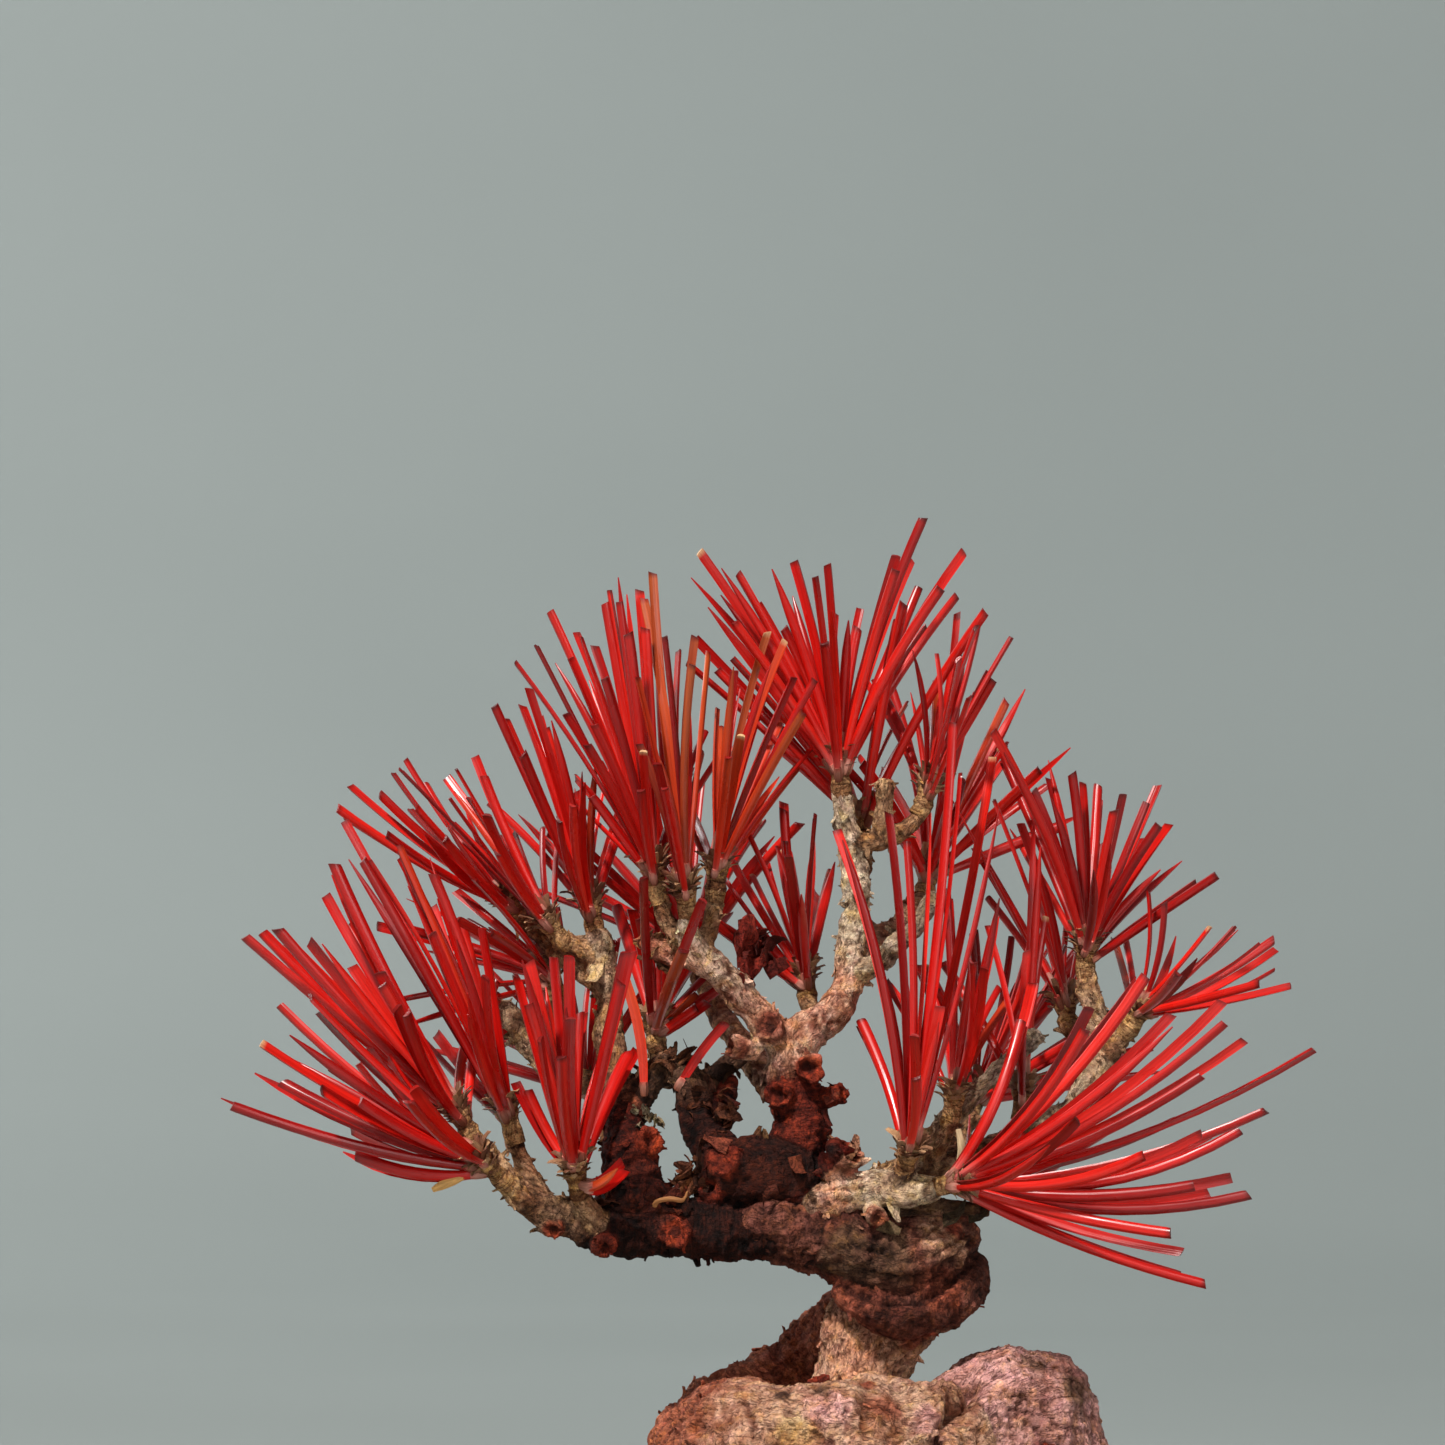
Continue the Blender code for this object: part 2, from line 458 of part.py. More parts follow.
def rounded_outline(length, depth, corner, z, segments):
    """A flat face with round corners."""
    shape = bmesh.new()
    flat = Matrix.LocRotScale(Vector((0, 0, z)), None, Vector((length, depth, 1)))
    bmesh.ops.create_grid(shape, x_segments=1, y_segments=1, size=0.5, matrix=flat)
    bmesh.ops.bevel(
        shape, geom=shape.verts[:], affect="VERTICES", offset=corner, segments=segments, profile=0.5,
        material=-1, offset_type="OFFSET")
    return shape, shape.faces[:][0]


def pull(shape, face, rise, scale=1.0, out=0.0):
    """Extrudes a face upwards and widens it by a scale and by a distance on every side."""
    pulled = bmesh.ops.extrude_face_region(shape, geom=[face, *face.edges])
    face = next(part for part in pulled["geom"] if isinstance(part, bmesh.types.BMFace))
    bmesh.ops.translate(shape, vec=(0, 0, rise), verts=face.verts)
    wide = max(abs(v.co.x) for v in face.verts)
    deep = max(abs(v.co.y) for v in face.verts)
    stretch = (scale * (wide + out) / wide, scale * (deep + out) / deep, 1)
    bmesh.ops.scale(shape, vec=stretch, verts=face.verts)
    return face


def build_pot(material):
    """The body with its well, then the feet added and the drain holes cut."""
    low_length = POT_LENGTH * POT_TAPER
    low_depth = POT_DEPTH * POT_TAPER
    shape, face = rounded_outline(low_length, low_depth, POT_CORNER * POT_TAPER, FOOT_HEIGHT, CORNER_STEPS)
    face = pull(shape, face, POT_HEIGHT - FOOT_HEIGHT - LIP_HEIGHT, 1 / POT_TAPER)
    face = pull(shape, face, LIP_SLOPE, out=LIP_OUT)
    face = pull(shape, face, LIP_HEIGHT - LIP_SLOPE)
    face = pull(shape, face, 0.0, out=-WALL - LIP_OUT)
    pull(shape, face, FOOT_HEIGHT + FLOOR - POT_HEIGHT, POT_TAPER)
    pot = make_object("pot", shape, material)
    feet = []
    for x in (-1, 1):
        for y in (-1, 1):
            foot, face = rounded_outline(FOOT_SIZE, FOOT_SIZE, FOOT_CORNER, 0, 2)
            pull(foot, face, FOOT_HEIGHT + FOOT_SUNK, FOOT_SPREAD)
            shift = (x * (low_length / 2 - FOOT_INSET), y * (low_depth / 2 - FOOT_INSET), 0)
            bmesh.ops.translate(foot, vec=shift, verts=foot.verts)
            feet.append(make_object("foot", foot))
    combine(pot, feet, "UNION")
    drills = []
    for x in (-DRAIN_OFFSET, DRAIN_OFFSET):
        ends = [(Vector((x, 0, z)), DRAIN_RADIUS) for z in (FOOT_HEIGHT / 2, FOOT_HEIGHT + 1.5 * FLOOR)]
        drills.append(make_object("drill", tube(ends, DRAIN_SIDES)[0]))
    return combine(pot, drills, "DIFFERENCE")


def build_screen(name, x, material):
    """A square plastic mesh: a plate with rows of square holes."""
    low = FOOT_HEIGHT + FLOOR + GAP
    plate, face = rounded_outline(SCREEN_SIZE, SCREEN_SIZE, 1.0, low, 1)
    pull(plate, face, SCREEN_THICK)
    bmesh.ops.translate(plate, vec=(x, 0, 0), verts=plate.verts)
    screen = make_object(name, plate, material)
    pitch = SCREEN_SIZE / (SCREEN_MESH + SCREEN_EDGE)
    hole_size = Vector((SCREEN_HOLE * pitch, SCREEN_HOLE * pitch, 3 * SCREEN_THICK))
    middle = (SCREEN_MESH - 1) / 2
    punches = []
    for i in range(SCREEN_MESH):
        for j in range(SCREEN_MESH):
            place = Vector((x + (i - middle) * pitch, (j - middle) * pitch, low + SCREEN_THICK / 2))
            punch = bmesh.new()
            bmesh.ops.create_cube(punch, size=1, matrix=Matrix.LocRotScale(place, None, hole_size))
            punches.append(make_object("punch", punch))
    return combine(screen, punches, "DIFFERENCE")


def soil_height(x, y, edge):
    """The heap: highest at the foot of the trunk and falling away to the pot's edge."""
    away = math.hypot((x - HEAP_X) / HEAP_WIDE, (y - HEAP_Y) / HEAP_DEEP)
    return edge + (SOIL_PEAK - edge) * math.exp(-away ** 2)


def well_size(full, z):
    """The half width of the pot's inside at this height, less the gap."""
    rise = (z - FOOT_HEIGHT - FLOOR) / (POT_HEIGHT - FOOT_HEIGHT - FLOOR)
    return (full / 2 - WALL) * (POT_TAPER + (1 - POT_TAPER) * rise) - GAP


def build_soil(material):
    """The soil follows the pot's inside, and its heap has sockets for what stands in it."""
    bottom = FOOT_HEIGHT + FLOOR + SCREEN_THICK + 2 * GAP
    edge = POT_HEIGHT - SOIL_EDGE_BELOW_RIM
    shape, face = rounded_outline(POT_LENGTH, POT_DEPTH, POT_CORNER, bottom, CORNER_STEPS)
    stretch = [2 * well_size(full, bottom) / full for full in (POT_LENGTH, POT_DEPTH)]
    bmesh.ops.scale(shape, vec=(*stretch, 1), verts=face.verts)
    low_half = Vector((well_size(POT_LENGTH, bottom), well_size(POT_DEPTH, bottom)))
    high_half = Vector((well_size(POT_LENGTH, edge), well_size(POT_DEPTH, edge)))
    pulled = bmesh.ops.extrude_face_region(shape, geom=[face, *face.edges])
    face = next(part for part in pulled["geom"] if isinstance(part, bmesh.types.BMFace))
    bmesh.ops.scale(shape, vec=(high_half.x / low_half.x, high_half.y / low_half.y, 1), verts=face.verts)
    bmesh.ops.translate(shape, vec=(0, 0, edge - bottom), verts=face.verts)
    for ring in range(SOIL_RINGS, 0, -1):
        face = pull(shape, face, 0, (ring - 0.7) / (ring + 0.3))
        for v in face.verts:
            v.co.z = soil_height(v.co.x, v.co.y, edge) + SOIL_GRAIN * noise.noise(v.co / SOIL_GRAIN_SIZE)
    soil = make_object("soil", shape, material)
    return combine(soil, [limb_tube(name, SOCKET_GAP) for name in UNDERGROUND], "DIFFERENCE")


def seat(name):
    """Where a spray's core stands on the end of its limb, which way it starts, its crown and its tips."""
    limb, crown, tips = SPRAYS[name]
    stations = smooth_stations(LIMBS[limb][2], LIMBS[limb][1])
    end = stations[-1][0]
    way = (end - stations[-2][0]).normalized()
    return end + way * GAP, way, Vector(crown), tips


class Needle:
    """A gently bent needle: root and tip, and a middle that first follows the shoot."""

    def __init__(self, spray, root, tip, shoot, spare):
        self.spray = spray
        self.root = root
        self.tip = tip
        self.spare = spare
        way = (tip - root).normalized()
        self.middle = root + 0.5 * (tip - root).length * way.lerp(shoot, SHOOT_PULL)

    def place(self, t):
        return (1 - t) ** 2 * self.root + 2 * t * (1 - t) * self.middle + t ** 2 * self.tip


def plan_spray(name, dice):
    """The needles seen from the front, and a few more that point away from and towards the viewer."""
    foot, _, crown, tips = seat(name)
    shoot = (crown - foot).normalized()
    ends = []
    for i, (x, z) in enumerate(tips):
        across = math.hypot(x - crown.x, z - crown.z)
        room = math.sqrt(max(0, NEEDLE_LENGTH ** 2 - across ** 2))
        near_or_far = 1 if i % 2 else -1
        deep = near_or_far * min(room, DEPTH_SHARE * across) * dice.uniform(LEAST_DEPTH, 1)
        ends.append((Vector((x, crown.y + deep, z)), False))
    lean = sum((Vector((x - crown.x, 0, z - crown.z)) for x, z in tips), Vector()).normalized()
    for far_or_near, count in ((1, BACK_FILL), (-1, FRONT_FILL)):
        for i in range(count):
            spread = (i - 0.5 * (count - 1)) * FILL_FAN + dice.uniform(-0.15, 0.15)
            rise = dice.uniform(0.1, 0.4)
            way = lean * dice.uniform(0.35, 0.6) + Vector((spread, far_or_near * FILL_DEPTH, rise))
            length = NEEDLE_LENGTH * dice.uniform(0.6, 0.8)
            ends.append((crown + way.normalized() * length, True))
    ends.sort(key=lambda pair: (pair[0] - crown).normalized().dot(shoot))
    length = (crown - foot).length
    needles = []
    for i, (tip, spare) in enumerate(ends):
        way = (tip - crown).normalized()
        side = (way - shoot * way.dot(shoot)).normalized()
        down = ROOT_ZONE * length * (1 - i / (len(ends) - 1)) - 0.5 * CORE_BUD
        root = crown - shoot * down + side * ROOT_OFFSET * CORE_RADIUS
        needles.append(Needle(name, root, tip, shoot, spare))
    return needles


def plan_needles():
    dice = random.Random(SEED)
    return [needle for name in SPRAYS for needle in plan_spray(name, dice)]


def along_needles(needles):
    """How much root, middle and tip each count for at the samples of a needle's straight stretches."""
    knots = np.linspace(0, 1, NEEDLE_STRETCHES + 1)
    ts = np.linspace(0, 1, SAMPLES)
    shares = [np.interp(ts, knots, share) for share in (
        (1 - knots) ** 2, 2 * knots * (1 - knots), knots ** 2)]
    roots, middles, tips = (
        np.array([getattr(needle, end) for needle in needles]) for end in ("root", "middle", "tip"))
    spots = sum(share[None, :, None] * ends[:, None] for share, ends in zip(shares, (roots, middles, tips)))
    return shares, roots, middles, tips, spots


def close_places(needles, spots):
    """Where needles cross each other or the wood in the front view, and the depth each crossing needs."""
    tree = kdtree.KDTree(spots.shape[0] * SAMPLES)
    for i, row in enumerate(spots):
        for k, spot in enumerate(row):
            tree.insert((spot[0], 0, spot[2]), i * SAMPLES + k)
    tree.balance()
    clear = 2 * NEEDLE_RADIUS + GAP + 0.1
    meets = []
    for i, row in enumerate(spots):
        for k in range(2, SAMPLES):
            for _, other, flat in tree.find_range((row[k][0], 0, row[k][2]), clear):
                j, m = divmod(other, SAMPLES)
                same = needles[i].spray == needles[j].spray
                if j > i and m >= 2 and not same:
                    meets.append((i, k, j, m, math.sqrt(clear ** 2 - flat ** 2)))
    walls = []
    solids = []
    for name, (_, _, stops) in LIMBS.items():
        for place, radius in smooth_stations(stops, WOOD_STEP):
            solids.append((name, place, WOOD_SWELL * radius + WOOD_EXTRA))
    for name in SPRAYS:
        foot, _, crown, _ = seat(name)
        steps = [foot.lerp(crown, share / 4) for share in range(6)]
        solids += [(name, place, CORE_RADIUS) for place in steps]
    for name, place, radius in solids:
        reach = radius + NEEDLE_RADIUS + GAP
        for _, other, flat in tree.find_range((place.x, 0, place.z), reach):
            i, k = divmod(other, SAMPLES)
            own = needles[i].spray == name or (Vector(spots[i, k]) - needles[i].root).length < ROOT_FREE
            if not own:
                walls.append((i, k, name, place.y, math.sqrt(max(0, reach ** 2 - flat ** 2))))
    return meets, walls


def lean_side(keys, apart):
    """One side for every pair of pieces, by which of them lies nearer the viewer on the whole."""
    _, which = np.unique(keys, return_inverse=True)
    mean = np.bincount(which, apart)
    return np.where(mean >= 0, 1.0, -1.0)[which]


def settle(needles):
    """Bends needles forwards or back until they clear each other and the wood.

    Nothing moves sideways or up and down, so the tree looks the same from its front. A spare needle
    that finds no room is left out.
    """
    while True:
        shares, roots, middles, tips, spots = along_needles(needles)
        meets, walls = close_places(needles, spots)
        a, ka, b, kb, need = (np.array(column) for column in zip(*meets))
        w, kw, wood, wall_y, wall_need = (np.array(column) for column in zip(*walls))
        pair_key = a * len(needles) + b
        wall_key = w * 1000 + np.unique(wood, return_inverse=True)[1]
        middle_y, tip_y = middles[:, 1].copy(), tips[:, 1].copy()
        start_middle, start_tip = middle_y.copy(), tip_y.copy()
        for turn in range(ROUNDS):
            y = shares[0] * roots[:, 1:2] + shares[1] * middle_y[:, None] + shares[2] * tip_y[:, None]
            pair_apart = y[a, ka] - y[b, kb]
            wall_apart = y[w, kw] - wall_y
            if turn % ROUNDS_PER_SIDE == 0:
                pair_side = lean_side(pair_key, pair_apart)
                wall_side = lean_side(wall_key, wall_apart)
            pair_short = np.maximum(0, need - pair_apart * pair_side)
            wall_short = np.maximum(0, wall_need - wall_apart * wall_side)
            push = np.zeros((2, len(needles)))
            weight = np.full((2, len(needles)), 1e-6)
            for which, at, amount in (
                    (a, ka, 0.5 * pair_short * pair_side), (b, kb, -0.5 * pair_short * pair_side),
                    (w, kw, wall_short * wall_side)):
                for row in (0, 1):
                    s = shares[row + 1][at]
                    np.add.at(push[row], which, amount * s)
                    np.add.at(weight[row], which, (amount != 0) * s ** 2)
            middle_y += BEND_STEP * push[0] / weight[0]
            tip_y += BEND_STEP * push[1] / weight[1]
            middle_y = np.clip(middle_y, start_middle - MOST_BEND, start_middle + MOST_BEND)
            tip_y = np.clip(tip_y, start_tip - MOST_TIP_BEND, start_tip + MOST_TIP_BEND)
            tip_y = np.clip(tip_y, -DEEPEST_TIP, DEEPEST_TIP)
        trouble = np.zeros(len(needles))
        np.maximum.at(trouble, a, pair_short)
        np.maximum.at(trouble, b, pair_short)
        np.maximum.at(trouble, w, wall_short)
        drop = [i for i, needle in enumerate(needles) if needle.spare and trouble[i] > STILL_SHORT]
        if not drop:
            break
        drop.sort(key=lambda i: -trouble[i])
        gone = set(drop[:max(1, len(drop) // 2)])
        needles = [needle for i, needle in enumerate(needles) if i not in gone]
    for i, needle in enumerate(needles):
        needle.middle.y = middle_y[i]
        needle.tip.y = tip_y[i]
    return needles


def needle_tube(needle):
    stations = []
    for i in range(NEEDLE_STRETCHES + 1):
        radius = {0: NEEDLE_ROOT, NEEDLE_STRETCHES: NEEDLE_TIP}.get(i, NEEDLE_RADIUS)
        stations.append((needle.place(i / NEEDLE_STRETCHES), radius))
    return make_object("needle", tube(stations, NEEDLE_SIDES)[0])


def build_spray(name, needles, material):
    """A slim shoot core with its needles sunk into it, fused into one body."""
    foot, way, crown, _ = seat(name)
    shoot = (crown - foot).normalized()
    rows = [
        (foot, 0.8 * CORE_RADIUS), (foot + way * CORE_START, 0.85 * CORE_RADIUS), (crown, CORE_RADIUS),
        (crown + shoot * CORE_BUD, 0.5 * CORE_RADIUS)]
    spray = make_object("needles_" + name, tube(rows, CORE_SIDES)[0])
    combine(spray, [needle_tube(needle) for needle in needles if needle.spray == name], "UNION")
    spray.data.materials.clear()
    spray.data.materials.append(material)
    return spray


def main():
    clear_scene()
    materials = {name: make_material(name) for name in COLOURS}
    build_pot(materials["clay"])
    build_screen("drain_screen_left", -DRAIN_OFFSET, materials["screen"])
    build_screen("drain_screen_right", DRAIN_OFFSET, materials["screen"])
    build_soil(materials["soil"])
    build_tree(materials["bark"])
    needles = settle(plan_needles())
    for name in SPRAYS:
        build_spray(name, needles, materials["needle"])


main()
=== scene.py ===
"""The finished look of a small Japanese black pine bonsai with trimmed needles dyed red.

The tables are in millimetres, in the frame of the part: X runs to the right and Z up as the tree is
seen from its front, and Y runs away from the viewer.
"""

import math
import random

import bmesh
import bpy
import numpy as np
from mathutils import Euler, Matrix, Quaternion, Vector, kdtree, noise


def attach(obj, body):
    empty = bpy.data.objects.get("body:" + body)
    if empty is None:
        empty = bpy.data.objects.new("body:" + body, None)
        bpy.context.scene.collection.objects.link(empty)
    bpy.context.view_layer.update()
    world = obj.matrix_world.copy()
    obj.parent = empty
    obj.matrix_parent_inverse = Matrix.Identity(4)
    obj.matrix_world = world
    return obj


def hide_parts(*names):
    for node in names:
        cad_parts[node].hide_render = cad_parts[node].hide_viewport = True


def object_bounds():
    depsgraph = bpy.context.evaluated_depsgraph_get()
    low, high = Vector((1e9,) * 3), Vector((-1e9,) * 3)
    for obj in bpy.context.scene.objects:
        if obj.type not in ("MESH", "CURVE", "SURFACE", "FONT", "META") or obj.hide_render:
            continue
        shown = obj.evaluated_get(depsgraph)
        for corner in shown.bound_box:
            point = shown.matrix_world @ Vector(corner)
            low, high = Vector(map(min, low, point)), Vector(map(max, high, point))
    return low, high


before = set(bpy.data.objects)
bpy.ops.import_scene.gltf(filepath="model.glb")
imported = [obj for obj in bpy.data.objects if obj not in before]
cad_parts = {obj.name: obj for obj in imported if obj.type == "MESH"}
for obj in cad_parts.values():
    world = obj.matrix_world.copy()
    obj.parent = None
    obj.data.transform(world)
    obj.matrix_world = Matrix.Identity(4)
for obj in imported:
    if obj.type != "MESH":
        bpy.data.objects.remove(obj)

CAD_BOX = [list(corner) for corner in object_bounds()]

MM = 0.001
PER_METRE = 1000
FULL_TURN = 6.28
SEED = 7
GAP = 0.3

# The pot.
POT_LENGTH = 102.0
POT_DEPTH = 76.0
POT_HEIGHT = 32.0
POT_CORNER = 15.0
POT_TAPER = 0.88
FOOT_HEIGHT = 4.0
FOOT_SIZE = 15.0
FOOT_CORNER = 3.0
FOOT_INSET = 11.0
FOOT_SPREAD = 1.12
FOOT_SUNK = 1.5
LIP_HEIGHT = 5.0
LIP_OUT = 1.8
LIP_SLOPE = 0.6
WALL = 4.5
FLOOR = 4.5
DRAIN_RADIUS = 5.5
DRAIN_OFFSET = 24.0
CORNER_STEPS = 14

# The soil's heap.
SOIL_EDGE_BELOW_RIM = 2.5
SOIL_PEAK = 38.0
HEAP_X = 20.0
HEAP_Y = -1.0
HEAP_WIDE = 34.0
HEAP_DEEP = 24.0
GRANULE_PITCH = 1.75
GRANULE_EDGE = 1.4
GRANULE_CORNER = 5

# The camera's sensor in millimetres, and its distance and the width that it sees in metres.
SENSOR = 36
EYE_AWAY = 1.3
VIEW_WIDTH = 0.17

# Large lumps of the wood, as on the solids, and the size of the grid that fuses its limbs.
LUMP_SHARE = 0.16
LUMP_LEAST = 0.25
LUMP_SIZE_SHARE = 0.5
LUMP_SIZE_LEAST = 1.5
TRUNK_GRID = 0.38
BRANCH_GRID = 0.315
SMOOTHINGS = 3

# How far apart the straightened limbs lie in the bark's noise, and how many copies are joined at once.
LIMB_APART = 50
COPIES_AT_ONCE = 150

# Needles.
NEEDLE_RADIUS = 0.7
NEEDLE_LENGTH = 31.0
NEEDLE_STRETCHES = 7
SHOOT_PULL = 0.24
CORE_RADIUS = 1.5
CORE_BUD = 1.6
ROOT_ZONE = 0.85
ROOT_OFFSET = 0.4
DEPTH_SHARE = 0.5
LEAST_DEPTH = 0.35
BACK_FILL = 3
FRONT_FILL = 1
FILL_FAN = 0.45
FILL_DEPTH = 0.85

# The second needle of each pair.
NEEDLE_STEPS = 9
PAIR_APART = 0.66
PAIR_SAMPLES = 14
PAIR_TRIES = 9
PAIR_ROOM = 0.95
PAIR_REACH = 24
MOST_ROOM = 9.0

# Keeping needles apart.
SAMPLES = 29
ROUNDS = 400
ROUNDS_PER_SIDE = 40
BEND_STEP = 0.6
MOST_BEND = 6.0
MOST_TIP_BEND = 9.6
DEEPEST_TIP = 38.6
STILL_SHORT = 0.15
ROOT_FREE = 3.2
WOOD_SWELL = 1.12
WOOD_EXTRA = 0.2
WOOD_STEP = 1.2

